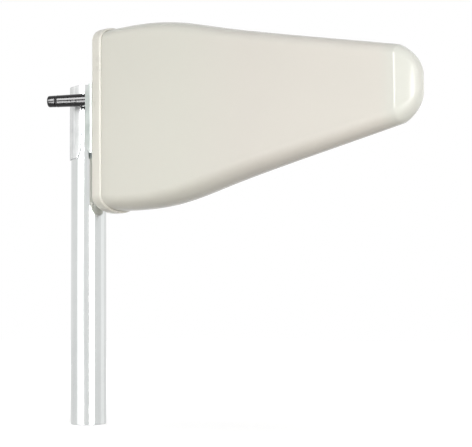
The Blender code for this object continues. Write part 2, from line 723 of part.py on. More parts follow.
def make_boom_foot(datum, materials):
    arm = BOOM_OFFSET + BOOM_HALF + FOOT_SEAT_MARGIN
    rise = BOOM_HALF + FOOT_SEAT_MARGIN
    bar = FOOT_BAR_HALF_WIDTH
    top = BOLT_FROM_AXIS + FOOT_END_MARGIN
    quarter = [(arm, rise), (bar, rise), (bar, top)]
    outline = quarter + [(-y, z) for y, z in quarter[::-1]]
    outline += [(-y, -z) for y, z in quarter] + [(y, -z) for y, z in quarter[::-1]]
    front = FOOT_REAR + FOOT_THICKNESS
    bm = bmesh.new()
    add_prism(bm, outline, "X", FOOT_REAR, front)
    foot = add_object("boom_foot", bm, datum, materials["aluminium"], smooth=False)
    sockets = bmesh.new()
    for boom in (-1, 1):
        y = boom * BOOM_OFFSET
        add_prism(sockets, square(BOOM_HALF + GAP, y), "X", front - BOOM_SOCKET, front + PAST)
    cut(foot, "foot_sockets", sockets)
    holes = bmesh.new()
    for z in (-BOLT_FROM_AXIS, BOLT_FROM_AXIS):
        add_rod(holes, BOLT_RADIUS + GAP, (FOOT_REAR - PAST, 0.0, z), (front + PAST, 0.0, z))
    for boom in (-1, 1):
        y = boom * BOOM_OFFSET
        add_rod(holes, BOOM_SCREW_RADIUS + GAP, (FOOT_REAR - PAST, y, 0.0), (front + PAST, y, 0.0))
    cut(foot, "foot_holes", holes)
    heads = bmesh.new()
    for boom in (-1, 1):
        y = boom * BOOM_OFFSET
        radius = BOOM_SCREW_HEAD_RADIUS + GAP
        add_rod(heads, radius, (FOOT_REAR - PAST, y, 0.0), (FOOT_REAR + BOOM_SCREW_HEAD + 2 * GAP, y, 0.0))
    cut(foot, "foot_screw_heads", heads)


def make_boom_screws(datum, materials):
    head = FOOT_REAR + GAP
    profile = [
        (0.0, head),
        (BOOM_SCREW_HEAD_RADIUS, head),
        (BOOM_SCREW_HEAD_RADIUS, head + BOOM_SCREW_HEAD),
        (BOOM_SCREW_RADIUS, head + BOOM_SCREW_HEAD),
        (BOOM_SCREW_RADIUS, BOOM_REAR + BOOM_SCREW_BITE),
        (0.0, BOOM_REAR + BOOM_SCREW_BITE),
    ]
    for place, boom in (("near", -1), ("far", 1)):
        bm = bmesh.new()
        add_turned(bm, profile, sides=16, axis_run=(0.0, boom * BOOM_OFFSET, 0.0))
        add_object(f"boom_screw_{place}", bm, datum, materials["zinc"])


def make_booms(datum, materials):
    for place, boom in (("near", -1), ("far", 1)):
        y = boom * BOOM_OFFSET
        bm = bmesh.new()
        add_prism(bm, square(BOOM_HALF, y), "X", BOOM_REAR, BOOM_TIP)
        bar = add_object(f"boom_{place}", bm, datum, materials["aluminium"], smooth=False)
        sockets = bmesh.new()
        for number, (x, _) in enumerate(dipoles()):
            side = rod_side(number, boom)
            start = (x, y, side * (BOOM_HALF - ROD_SOCKET))
            add_rod(sockets, ROD_RADIUS + GAP, start, (x, y, side * (BOOM_HALF + PAST)), ROD_SIDES)
        bite = BOOM_REAR + BOOM_SCREW_BITE + GAP
        add_rod(sockets, BOOM_SCREW_RADIUS + GAP, (BOOM_REAR - PAST, y, 0.0), (bite, y, 0.0))
        cut(bar, f"boom_{place}_sockets", sockets)


def make_dipoles(datum, materials):
    for number, (x, half) in enumerate(dipoles()):
        for boom in (-1, 1):
            side = rod_side(number, boom)
            place = "upper" if side > 0 else "lower"
            start = (x, boom * BOOM_OFFSET, side * (BOOM_HALF - ROD_SOCKET + GAP))
            bm = bmesh.new()
            add_rod(bm, ROD_RADIUS, start, (x, boom * BOOM_OFFSET, side * half), ROD_SIDES)
            add_object(f"dipole_{number + 1:02d}_{place}", bm, datum, materials["aluminium"])


def between_dipoles(number):
    """Rear face of a block set halfway between a dipole and the next."""
    rows = dipoles()
    return (rows[number - 1][0] + rows[number][0] - BLOCK_THICKNESS) / 2


def make_block(name, datum, material, rear, half_width, half_height):
    """An insulating block with square holes for the booms and a notch for the coax."""
    front = rear + BLOCK_THICKNESS
    bm = bmesh.new()
    outline = rounded_rectangle(half_width, half_height, BLOCK_CORNER, steps=3)
    add_prism(bm, outline, "X", rear, front)
    block = add_object(name, bm, datum, material, smooth=False)
    holes = bmesh.new()
    for boom in (-1, 1):
        y = boom * BOOM_OFFSET
        add_prism(holes, square(BOOM_HALF + GAP, y), "X", rear - PAST, front + PAST)
    cut(block, f"{name}_holes", holes)
    groove = bmesh.new()
    add_rod(groove, COAX_RADIUS + GAP, (rear - PAST, COAX_Y, 0.0), (front + PAST, COAX_Y, 0.0))
    cut(block, f"{name}_groove", groove)


def make_blocks(datum, materials):
    half_width = COAX_RADIUS - COAX_Y + BLOCK_WALL
    half_height = BOOM_HALF + BLOCK_WALL
    for place, number in zip(("rear", "front"), SPACER_DIPOLE_COUNTS):
        rear = between_dipoles(number)
        make_block(f"boom_spacer_{place}", datum, materials["nylon"], rear, half_width, half_height)
    rear = between_dipoles(SUPPORT_DIPOLE_COUNT)
    reach = half_thickness(rear + BLOCK_THICKNESS) - SHELL_WALL - GAP
    make_block("nose_support", datum, materials["nylon"], rear, reach, NOSE_SUPPORT_HALF_HEIGHT)


def make_jumper(datum, materials):
    """Strip that joins the coax to the tip of the far boom."""
    bm = bmesh.new()
    low = (JUMPER_REAR, COAX_Y - COAX_RADIUS, -JUMPER_HALF_HEIGHT)
    high = (JUMPER_REAR + JUMPER_THICKNESS, BOOM_OFFSET + BOOM_HALF, JUMPER_HALF_HEIGHT)
    add_box(bm, low, high)
    add_object("feed_jumper", bm, datum, materials["brass"], smooth=False)


def smooth_route(points, step):
    """Points along a Catmull-Rom curve through the route, about one step apart."""
    ends = [2 * points[0] - points[1]] + points + [2 * points[-1] - points[-2]]
    route = []
    for a, b, c, d in zip(ends, ends[1:], ends[2:], ends[3:]):
        count = max(1, round((c - b).length / step))
        for i in range(count):
            t = i / count
            bend = 2 * b + (c - a) * t + (2 * a - 5 * b + 4 * c - d) * t**2 + (3 * b - a - 3 * c + d) * t**3
            route.append(bend / 2)
    return route + [points[-1]]


def make_coax(datum, materials):
    """Inner lead from the jack, down beside the near boom, to the feed at the nose."""
    start = outlet_point(-JACK_INNER - GAP)
    ahead = -outlet_direction()
    straight = start + ahead * 3 * COAX_RADIUS
    drop = Vector((DIPOLE_FIRST_X + 6 * COAX_RADIUS, COAX_Y, OUTLET_Z / 3))
    level = Vector((DIPOLE_FIRST_X + 14 * COAX_RADIUS, COAX_Y, 0.0))
    end = Vector((JUMPER_REAR - GAP, COAX_Y, 0.0))
    runs = 8
    along = [level.lerp(end, i / runs) for i in range(1, runs + 1)]
    route = smooth_route([start, straight, drop, level, *along], 6 * COAX_RADIUS)
    curve = bpy.data.curves.new("feed_coax", "CURVE")
    curve.dimensions = "3D"
    curve.bevel_depth = COAX_RADIUS
    curve.bevel_resolution = 2
    curve.use_fill_caps = True
    spline = curve.splines.new("POLY")
    spline.points.add(len(route) - 1)
    for spot, place in zip(spline.points, route):
        spot.co = (*place, 1.0)
    curve.materials.append(materials["coax"])
    coax = bpy.data.objects.new("feed_coax", curve)
    bpy.context.scene.collection.objects.link(coax)
    coax.parent = datum


# Coaxial outlet


def outlet_direction():
    return Vector((-math.cos(OUTLET_ANGLE), -math.sin(OUTLET_ANGLE), 0.0))


def outlet_point(run):
    """A point on the outlet's axis, run metres out from the rear face of the cap."""
    return Vector((0.0, OUTLET_Y, OUTLET_Z)) + outlet_direction() * run


def outlet_cutter(radius):
    bm = bmesh.new()
    add_rod(bm, radius, outlet_point(-4 * SEAT_OUTER), outlet_point(4 * SEAT_OUTER))
    return bm


def make_connector_seat(datum, materials):
    """Angled bush in the cap's floor, with a flange flat on the inside of the floor."""
    bm = bmesh.new()
    add_rod(bm, SEAT_RADIUS, outlet_point(-SEAT_INNER), outlet_point(SEAT_OUTER))
    seat = add_object("connector_seat", bm, datum, materials["boot"])
    low = CAP_FLOOR + GAP
    y = outlet_point(-(low + SEAT_FLANGE / 2) / math.cos(OUTLET_ANGLE)).y
    flange = bmesh.new()
    add_rod(flange, SEAT_FLANGE_RADIUS, (low, y, OUTLET_Z), (low + SEAT_FLANGE, y, OUTLET_Z))
    boolean(seat, add_object("connector_seat_flange", flange, datum), "UNION")
    bore = bmesh.new()
    add_rod(bore, JACK_RADIUS + GAP, outlet_point(-SEAT_INNER - PAST), outlet_point(SEAT_OUTER + PAST))
    cut(seat, "connector_seat_bore", bore)


def make_jack(outlet, materials):
    shoulder = SEAT_OUTER + GAP
    barrel = [
        (JACK_BORE, JACK_OUTER),
        (JACK_RADIUS, JACK_OUTER),
        (JACK_RADIUS, shoulder + JACK_SHOULDER),
        (JACK_SHOULDER_RADIUS, shoulder + JACK_SHOULDER),
        (JACK_SHOULDER_RADIUS, shoulder),
        (JACK_RADIUS, shoulder),
        (JACK_RADIUS, -JACK_INNER),
        (JACK_BORE, -JACK_INNER),
    ]
    insulator = JACK_BORE - GAP
    hole = PIN_RADIUS + GAP
    low = GAP - JACK_INNER
    high = JACK_OUTER - DIELECTRIC_RECESS
    dielectric = [(hole, high), (insulator, high), (insulator, low), (hole, low)]
    pin = [(0.0, high - GAP), (PIN_RADIUS, high - GAP), (PIN_RADIUS, low), (0.0, low)]
    pieces = (
        ("jack_barrel", barrel, "nickel"),
        ("jack_dielectric", dielectric, "ptfe"),
        ("jack_pin", pin, "brass"),
    )
    for name, profile, finish in pieces:
        bm = bmesh.new()
        add_turned(bm, profile)
        add_object(name, bm, outlet, materials[finish])
    bm = bmesh.new()
    low = -SEAT_INNER - GAP - JACK_NUT
    add_prism(bm, hexagon(JACK_NUT_FLATS), "Z", low, low + JACK_NUT)
    nut = add_object("jack_nut", bm, outlet, materials["nickel"], smooth=False)
    bore = bmesh.new()
    add_rod(bore, JACK_RADIUS + GAP, (0.0, 0.0, low - PAST), (0.0, 0.0, low + JACK_NUT + PAST))
    cut(nut, "jack_nut_hole", bore)


def make_boot(outlet, materials):
    """Weather boot over the jack: a long tapered sleeve, grooved near its rounded end."""
    root = SEAT_OUTER + GAP
    slope = (BOOT_ROOT_RADIUS - BOOT_END_RADIUS) / (BOOT_END - root)

    def radius(run):
        return BOOT_ROOT_RADIUS - slope * (run - root)

    groove = BOOT_END - BOOT_GROOVE_FROM_END
    shoulder = root + JACK_SHOULDER + GAP
    bore = JACK_RADIUS + GAP
    outer = [(radius(root), root)]
    for place, depth in ((-0.5, 0.0), (-0.25, 1.0), (0.25, 1.0), (0.5, 0.0)):
        run = groove + place * BOOT_GROOVE_WIDTH
        outer.append((radius(run) - depth * BOOT_GROOVE_DEPTH, run))
    round_steps = 5
    for i in range(round_steps + 1):
        angle = math.pi / 2 * i / round_steps
        run = BOOT_END - BOOT_END_ROUND * (1 - math.sin(angle))
        outer.append((radius(run) - BOOT_END_ROUND * (1 - math.cos(angle)), run))
    inner = [
        (BOOT_LEAD_HOLE, BOOT_END),
        (BOOT_LEAD_HOLE, BOOT_END - BOOT_LIP),
        (BOOT_CAVITY_RADIUS, BOOT_END - BOOT_LIP),
        (BOOT_CAVITY_RADIUS, JACK_OUTER + GAP),
        (bore, JACK_OUTER + GAP),
        (bore, shoulder),
        (JACK_SHOULDER_RADIUS + GAP, shoulder),
        (JACK_SHOULDER_RADIUS + GAP, root),
    ]
    bm = bmesh.new()
    add_turned(bm, outer + inner)
    add_object("connector_boot", bm, outlet, materials["boot"])


def main():
    clear_scene()
    materials = make_materials()
    root = add_empty("mast_foot", None, (0.0, 0.0, 0.0))
    head = add_empty("azimuth_axis", root, (0.0, 0.0, AXIS_HEIGHT))
    datum = add_empty("rear_face_datum", head, (REAR_STANDOFF, 0.0, 0.0))
    outlet = add_empty("outlet_axis", datum, outlet_point(0.0), outlet_direction())
    make_mast(root, materials)
    make_mast_bracket(datum, materials)
    make_mast_cradle(datum, materials)
    make_mast_strap(datum, materials)
    make_studs_and_nuts(datum, materials)
    make_bracket_bolts(datum, materials)
    make_radome_shell(datum, materials)
    make_rear_cap(datum, materials)
    make_cap_seal(datum, materials)
    make_cap_screws(datum, materials)
    make_boom_foot(datum, materials)
    make_boom_screws(datum, materials)
    make_booms(datum, materials)
    make_dipoles(datum, materials)
    make_blocks(datum, materials)
    make_jumper(datum, materials)
    make_coax(datum, materials)
    make_connector_seat(datum, materials)
    make_jack(outlet, materials)
    make_boot(outlet, materials)


main()
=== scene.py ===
"""Looks for the closed log-periodic antenna: finer pieces, finishes, light and camera."""

import json
import math

import bmesh
import bpy
from mathutils import Matrix, Vector

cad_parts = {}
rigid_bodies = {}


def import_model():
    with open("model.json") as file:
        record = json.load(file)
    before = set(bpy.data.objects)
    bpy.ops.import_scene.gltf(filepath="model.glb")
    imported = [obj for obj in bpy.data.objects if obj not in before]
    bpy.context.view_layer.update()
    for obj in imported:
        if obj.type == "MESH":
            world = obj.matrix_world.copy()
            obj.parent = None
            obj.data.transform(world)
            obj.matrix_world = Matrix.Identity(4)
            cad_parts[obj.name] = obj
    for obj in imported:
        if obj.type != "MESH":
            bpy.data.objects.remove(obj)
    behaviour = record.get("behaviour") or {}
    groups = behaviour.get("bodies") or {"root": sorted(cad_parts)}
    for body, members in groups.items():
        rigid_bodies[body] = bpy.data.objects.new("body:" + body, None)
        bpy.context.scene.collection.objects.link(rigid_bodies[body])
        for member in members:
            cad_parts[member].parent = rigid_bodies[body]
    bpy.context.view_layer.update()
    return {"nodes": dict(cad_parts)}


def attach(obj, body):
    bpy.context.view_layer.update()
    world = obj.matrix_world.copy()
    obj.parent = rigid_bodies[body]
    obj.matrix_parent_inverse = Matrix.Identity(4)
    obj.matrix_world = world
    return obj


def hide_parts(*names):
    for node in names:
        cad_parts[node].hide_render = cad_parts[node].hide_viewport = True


for leftover in list(bpy.data.objects):
    bpy.data.objects.remove(leftover, do_unlink=True)

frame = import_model()

MM = 0.001  # sizes are in metres
QUARTER = math.pi / 2
GAP = 0.3 * MM  # clearance between pieces that seat on or in each other
PAST = 2.0 * MM  # how far a cutter runs past the wall that it cuts
SAME_POINT = 0.001 * MM  # points closer than this are merged

# Mast
MAST_RADIUS = 20.0 * MM
MAST_WALL = 2.0 * MM
MAST_ABOVE_AXIS = 42.0 * MM
MAST_EASE = 0.35 * MM
MAST_SIDES = 144
AXIS_HEIGHT = 340.0 * MM  # antenna axis above the foot of the mast
REAR_STANDOFF = 32.5 * MM  # mast axis to the rear face of the cap
DATUM = Vector((REAR_STANDOFF, 0.0, AXIS_HEIGHT))  # middle of the rear cap's outer face

# Rear cap
CAP_HALF_HEIGHT = 104.5 * MM
CAP_HALF_THICKNESS = 33.6 * MM
CAP_CROWN = 18.1 * MM  # depth of the half ellipse that rounds the cap's top and bottom
CROWN_FLAT = 0.3 * MM  # half the flat left on top of the crown
CAP_DEPTH = 12.5 * MM
CAP_FLOOR = 3.0 * MM
CAP_SKIRT = 2.2 * MM
CAP_REAR_EDGE = 2.0 * MM
CAP_LIP = 1.9 * MM
CAP_INNER_EASE = 0.2 * MM
CAP_STEPS = 20
SEAL_THICKNESS = 1.2 * MM

# Radome shell
SHELL_LENGTH = 382.2 * MM  # rear face of the cap to the nose tip
SHELL_WALL = 2.5 * MM
SHOULDER_HANDLE = 68.0 * MM
SHOULDER_SWELL = 3.3 * MM
TAPER_START = 153.5 * MM
TAPER_HALF_HEIGHT = 85.05 * MM
TAPER_SLOPE = 0.266
TAPER_LEAD = 48.7 * MM
TAPER_RUN = 49.2 * MM
NOSE_HALF_HEIGHT = 37.9 * MM  # where the dome starts
NOSE_HALF_THICKNESS = 17.5 * MM
NOSE_CROWN = 13.0 * MM
NOSE_SLOPE = 0.226
NOSE_RUN = 62.0 * MM
DOME_REACH = 20.5 * MM
DOME_FULLNESS = 2.75  # 2 is a parabola, more is a fuller dome
FOLD = 1.8 * MM  # the crease round the dome is eased over this run of the flanks
FOLD_SCALE = 0.91  # the dome's ring where the eased crease ends
FOLD_STEPS = 8
RING_STEPS = 28
SHELL_REAR_HALF_HEIGHT = CAP_HALF_HEIGHT - CAP_SKIRT - GAP
SHELL_REAR_HALF_THICKNESS = CAP_HALF_THICKNESS - CAP_SKIRT - GAP
SHELL_REAR_CROWN = CAP_CROWN - CAP_SKIRT - GAP
SHELL_REAR_X = CAP_FLOOR + SEAL_THICKNESS + 2 * GAP
NOSE_START = SHELL_LENGTH - DOME_REACH

# Cap screws and their bosses
BOSS_RADIUS = 4.2 * MM
BOSS_LENGTH = 17.0 * MM
BOSS_SINK = 1.0 * MM
BOSS_FLOOR = 2.0 * MM
BOSS_FRONT_EASE = 0.4 * MM
BOSS_REAR_EASE = 0.3 * MM
BOSS_LEAD_IN = 0.4 * MM
BOSS_LEAD_IN_RADIUS = 2.4 * MM
BOSS_SIDES = 32
CAP_SCREW_RADIUS = 1.75 * MM
CAP_SCREW_LENGTH = 16.0 * MM
CAP_SCREW_HEAD_RADIUS = 3.5 * MM
CAP_SCREW_HEAD = 2.4 * MM
CAP_SCREW_RIM = 0.7 * MM
CAP_SCREW_FULLNESS = 0.8
CAP_SCREW_EASE = 0.15 * MM
CAP_SCREW_PITCH = 1.2 * MM
CAP_SCREW_CUT = 0.45 * MM
CAP_SCREW_LEAD = 0.4 * MM  # plain run before the thread
CAP_SCREW_POINT = ((1.2, 1.0), (0.6, 0.1), (0.0, 0.0))  # radius, run behind the tip, mm
CAP_SCREW_RUN_OUT = 1.4 * MM
RECESS = ((-3.6, 2.3, 0.48), (-2.6, 2.05, 0.44), (-1.3, 0.7, 0.34))  # run, reach and half width, mm
RECESS_TURN = 0.35
RECESS_TURN_STEP = 0.5  # each screw stops at its own turn

# Bracket and cradle
SHEET_GAUGE = 1.5 * MM
BEND = 2.5 * MM  # outer radius of the sheet's bends
BEND_STEPS = 9
BRACKET_HALF_WIDTH = 33.0 * MM
BRACKET_HALF_HEIGHT = 39.0 * MM
BRACKET_DEPTH = 9.5 * MM
BRACKET_CHAMFER_DEPTH = 6.0 * MM
BRACKET_CHAMFER_HEIGHT = 9.0 * MM
BRACKET_EASE = 0.22 * MM
CRADLE_HALF_WIDTH = 10.0 * MM
CLAMP_EASE = 0.18 * MM
BRACKET_FRONT = -GAP
BRACKET_REAR = BRACKET_FRONT - SHEET_GAUGE
BRACKET_BACK = BRACKET_FRONT - BRACKET_DEPTH
CRADLE_FRONT = BRACKET_REAR - GAP
CRADLE_REAR = CRADLE_FRONT - SHEET_GAUGE

# Strap
STRAP_GAUGE = 1.2 * MM
STRAP_HALF_HEIGHT = 41.3 * MM
STRAP_NEAR_LEG = 6.3 * MM  # past the middle of the mast, on the free side
STRAP_FAR_LEG = 10.5 * MM  # past the middle of the mast, on the bolted side
STRAP_EAR = 12.0 * MM
STRAP_BEND = 1.0 * MM  # inner radius between the band and its ear
STRAP_CHAMFER_DEPTH = 6.0 * MM
STRAP_CHAMFER_HEIGHT = 13.0 * MM
STRAP_EDGE = 1.0 * MM  # chamfer along the free edge
STRAP_STEPS = 72
STRAP_BEND_STEPS = 8
EAR_FRONT = STRAP_FAR_LEG - REAR_STANDOFF
EAR_REAR = EAR_FRONT - STRAP_GAUGE

# Clamp studs, washers and nuts
STUD_RADIUS = 2.5 * MM
STUD_LENGTH = 42.0 * MM
STUD_COLLAR_RADIUS = 3.5 * MM
STUD_COLLAR = 1.2 * MM
STUD_EASE = 0.15 * MM
STUD_COLLAR_EASE = 0.2 * MM
STUD_PLAIN = 9.5 * MM
STUD_LEAD = 0.5 * MM
STUD_RUN_OUT = 1.4 * MM
STUD_PITCH = 0.8 * MM
STUD_CUT = 0.42 * MM
STUD_POINT = ((2.45, 1.1), (1.6, 0.1), (1.25, 0.0), (0.0, 0.0))  # radius, run behind the tip, mm
STUD_HOLE = STUD_RADIUS + GAP
STUD_Y = MAST_RADIUS + GAP + STRAP_GAUGE + STRAP_EAR / 2
STUD_Z = 22.0 * MM
CLAMP_WASHER_RADIUS = 5.0 * MM
CLAMP_WASHER = 1.0 * MM
WASHER_EASE = 0.2 * MM
WASHER_SIDES = 64
CLAMP_NUT_FLATS = 8.0 * MM
CLAMP_NUT_HEIGHT = 4.0 * MM

# Bracket bolts and nuts
BOLT_RADIUS = 3.0 * MM
BOLT_HOLE = BOLT_RADIUS + GAP
BOLT_Z = 24.0 * MM
BOLT_FLATS = 10.0 * MM
BOLT_HEAD = 4.0 * MM
BOLT_SUNK = 0.5 * MM  # the shank starts this far inside the head
BOLT_NUT = 5.0 * MM
BOLT_TAIL = 1.5 * MM
BOLT_RUN_OUT = 0.6 * MM
BOLT_PITCH = 1.0 * MM
BOLT_CUT = 0.5 * MM
BOLT_POINT = ((2.9, 0.4), (2.3, 0.0), (0.0, 0.0))  # radius, run behind the tip, mm
FOOT_THICKNESS = 6.0 * MM  # boom foot, clamped by the bolts' inner nuts

# Outlet
OUTLET_ANGLE = math.radians(22.0)
OUTLET_Y = -19.0 * MM
OUTLET_Z = 22.6 * MM
OUTLET = DATUM + Vector((0.0, OUTLET_Y, OUTLET_Z))
OUTLET_AXIS = Vector((-math.cos(OUTLET_ANGLE), -math.sin(OUTLET_ANGLE), 0.0))
OUTLET_CUT = 16.0 * MM
OUTLET_SIDES = 64
SEAT_RADIUS = 6.9 * MM
SEAT_OUTER = 4.0 * MM
JACK_RADIUS = 4.75 * MM
JACK_BORE = 3.5 * MM
JACK_INNER = 13.5 * MM
JACK_OUTER = 26.0 * MM
JACK_SHOULDER_RADIUS = 5.8 * MM
JACK_SHOULDER = 2.0 * MM
JACK_SHOULDER_EASE = 0.2 * MM
JACK_PLAIN = 8.0 * MM
JACK_LEAD = 0.4 * MM
JACK_RUN_OUT = 0.6 * MM
JACK_PITCH = 0.79 * MM
JACK_CUT = 0.42 * MM
JACK_MOUTH = ((4.4, 0.1), (4.2, 0.0), (3.7, 0.0), (3.5, 0.3))  # radius, run behind the mouth, mm
JACK_SIDES = 40
BOOT_ROOT = SEAT_OUTER + GAP
BOOT_END = 60.6 * MM
BOOT_ROOT_RADIUS = 7.4 * MM
BOOT_END_RADIUS = 6.4 * MM
BOOT_ROOT_EASE = 0.3 * MM
BOOT_END_ROUND = 1.6 * MM
BOOT_GROOVE = BOOT_END - 9.5 * MM
BOOT_GROOVE_WIDTH = 1.6 * MM
BOOT_GROOVE_DEPTH = 0.7 * MM
BOOT_GROOVE_FULLNESS = 0.8
BOOT_BEAD = BOOT_GROOVE - 2.4 * MM
BOOT_BEAD_LENGTH = 1.6 * MM
BOOT_BEAD_HEIGHT = 0.22 * MM
BOOT_BEAD_NUDGE = 0.001 * MM  # keeps the bead's first ring off the sleeve's last one
BOOT_LEAD_HOLE = 4.0 * MM
BOOT_LEAD_EASE = 0.3 * MM
BOOT_LIP = 3.0 * MM
BOOT_CAVITY_RADIUS = 4.6 * MM
BOOT_SIDES = 96
BOOT_NEAR_SIDE = math.pi  # the turn round the outlet's axis that faces the camera
RIB_START = BOOT_ROOT + 1.0 * MM
RIB_LENGTH = BOOT_GROOVE - 4.0 * MM - BOOT_ROOT
RIB_STEPS = 24
RIB = ((-0.15, -0.024), (0.10, -0.010), (0.10, 0.010), (-0.15, 0.024))  # lift in mm and turn
OVAL_RUN = 29.0 * MM
OVAL_TURN = BOOT_NEAR_SIDE + 0.30
OVAL_HALF_LENGTH = 3.4 * MM
OVAL_HALF_TURN = 0.21
OVAL_SIDES = 48
OVAL_RIM = ((1.12, -0.2), (1.06, 0.16), (0.97, 0.24), (0.88, 0.16), (0.80, -0.12))  # scale, lift in mm

# Threads and hexagons
THREAD_ROWS = 8  # rings to a pitch, and rings over which a thread fades in and out
THREAD_SIDES = 24
TOOTH_STEEPNESS = 1.5
TOOTH_ROOT = 0.25
HEXAGON_SIDES = 72
HEXAGON_EASE = 0.35 * MM
HEXAGON_SEAT = 0.96  # turned face of a nut, as a share of its flats
HEXAGON_CHAMFER = math.radians(30.0)


def at(x, y, z):
    """A point given from the datum, in the row frame."""
    return DATUM + Vector((x, y, z))


def quarter_turn(steps):
    return [QUARTER * i / steps for i in range(steps + 1)]


def full_turn(sides):
    return [2 * math.pi * i / sides for i in range(sides)]


# Mesh helpers


def bridge(bm, low, high):
    """Faces between two loops, of which one may be a single point."""
    sides = max(len(low), len(high))
    for i in range(sides):
        j = (i + 1) % sides
        corners = [low[i % len(low)], low[j % len(low)], high[j % len(high)], high[i % len(high)]]
        bm.faces.new(list(dict.fromkeys(corners)))


def loft(bm, rings, closed=True):
    loops = [[bm.verts.new(point) for point in ring] for ring in rings]
    for low, high in zip(loops, loops[1:]):
        bridge(bm, low, high)
    if closed:
        bm.faces.new(loops[0])
        bm.faces.new(loops[-1])
    return loops


def prism(bm, outline, low, high, axis):
    """Extrude pairs along Y (pairs are x, z) or Z (pairs are x, y), from the datum."""

    def point(pair, height):
        a, b = pair
        return at(a, height, b) if axis == "Y" else at(a, b, height)

    loft(bm, [[point(pair, height) for pair in outline] for height in (low, high)])


def along(origin, axis):
    """A function that places (radius, run, angle) round an axis through origin."""
    axis = Vector(axis).normalized()
    up = Vector((0.0, 0.0, 1.0)) if abs(axis.z) < 0.9 else Vector((1.0, 0.0, 0.0))
    side = axis.cross(up).normalized()
    up = side.cross(axis)

    def place(radius, run, angle):
        return origin + axis * run + side * (radius * math.cos(angle)) + up * (radius * math.sin(angle))

    return place


def turned(bm, profile, sides, place):
    """Turn (radius, run) pairs; pairs on the axis close the form, otherwise it is a ring."""
    rings = []
    for radius, run in profile:
        angles = full_turn(sides) if radius else [0.0]
        rings.append([bm.verts.new(place(radius, run, angle)) for angle in angles])
    pairs = list(zip(rings, rings[1:]))
    if profile[0][0] != 0.0:
        pairs.append((rings[-1], rings[0]))
    for low, high in pairs:
        bridge(bm, low, high)


def eased_collar(radius, ease, start, end):
    """(radius, run) pairs over a collar from start to end, with both edges eased."""
    inward = math.copysign(ease, end - start)
    return [(radius - ease, start), (radius, start + inward), (radius, end - inward), (radius - ease, end)]


def rod(radius, start, end, sides=48):
    bm = bmesh.new()
    run = (end - start).length
    turned(bm, [(0.0, 0.0), (radius, 0.0), (radius, run), (0.0, run)], sides, along(start, end - start))
    return bm


def hole_pair(radius, y, level, rear, front):
    """Cutters for two holes through a wall, below and above the antenna's axis."""
    return [rod(radius, at(rear - PAST, y, z), at(front + PAST, y, z)) for z in (-level, level)]


def mesh_object(name, bm):
    bmesh.ops.recalc_face_normals(bm, faces=bm.faces)
    mesh = bpy.data.meshes.new(name)
    bm.to_mesh(mesh)
    bm.free()
    obj = bpy.data.objects.new(name, mesh)
    bpy.context.scene.collection.objects.link(obj)
    return obj


def carve(obj, cutters):
    """Cut closed forms out of a mesh and keep the result as its mesh."""
    made = [mesh_object(f"{obj.name}_cutter_{i}", bm) for i, bm in enumerate(cutters)]
    for cutter in made:
        modifier = obj.modifiers.new(cutter.name, "BOOLEAN")
        modifier.operation = "DIFFERENCE"
        modifier.solver = "EXACT"
        modifier.object = cutter
    bpy.context.view_layer.update()
    depsgraph = bpy.context.evaluated_depsgraph_get()
    mesh = bpy.data.meshes.new_from_object(obj.evaluated_get(depsgraph))
    obj.modifiers.clear()
    obj.data = mesh
    for cutter in made:
        bpy.data.objects.remove(cutter, do_unlink=True)


def soften(obj, width):
    """Round every sharp edge of a mesh a little."""
    same_plane, sharp = math.radians(0.5), math.radians(32.0)
    bm = bmesh.new()
    bm.from_mesh(obj.data)
    bmesh.ops.remove_doubles(bm, verts=bm.verts, dist=SAME_POINT)
    bmesh.ops.dissolve_limit(bm, angle_limit=same_plane, verts=bm.verts, edges=bm.edges)
    edges = [e for e in bm.edges if e.is_manifold and e.calc_face_angle() > sharp]
    look = {"segments": 2, "profile": 0.5, "affect": "EDGES", "clamp_overlap": True}
    bmesh.ops.bevel(bm, geom=edges, offset=width, **look)
    bm.to_mesh(obj.data)
    bm.free()


def finish_piece(obj, body, material, nodes, sharp=38.0, weighted=True):
    """Give a piece its finish, its body and the nodes that it stands for."""
    obj.data.materials.clear()
    obj.data.materials.append(material)
    obj.data.shade_smooth()
    obj.data.set_sharp_from_angle(angle=math.radians(sharp))
    if weighted:
        modifier = obj.modifiers.new("face_normals", "WEIGHTED_NORMAL")
        modifier.keep_sharp = True
        modifier.weight = 80
    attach(obj, body)
    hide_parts(*nodes)


# Finishes


def set_inputs(node, **values):
    """Set a node's inputs by name, with _ for a space."""
    for socket, value in values.items():
        node.inputs[socket.replace("_", " ")].default_value = value


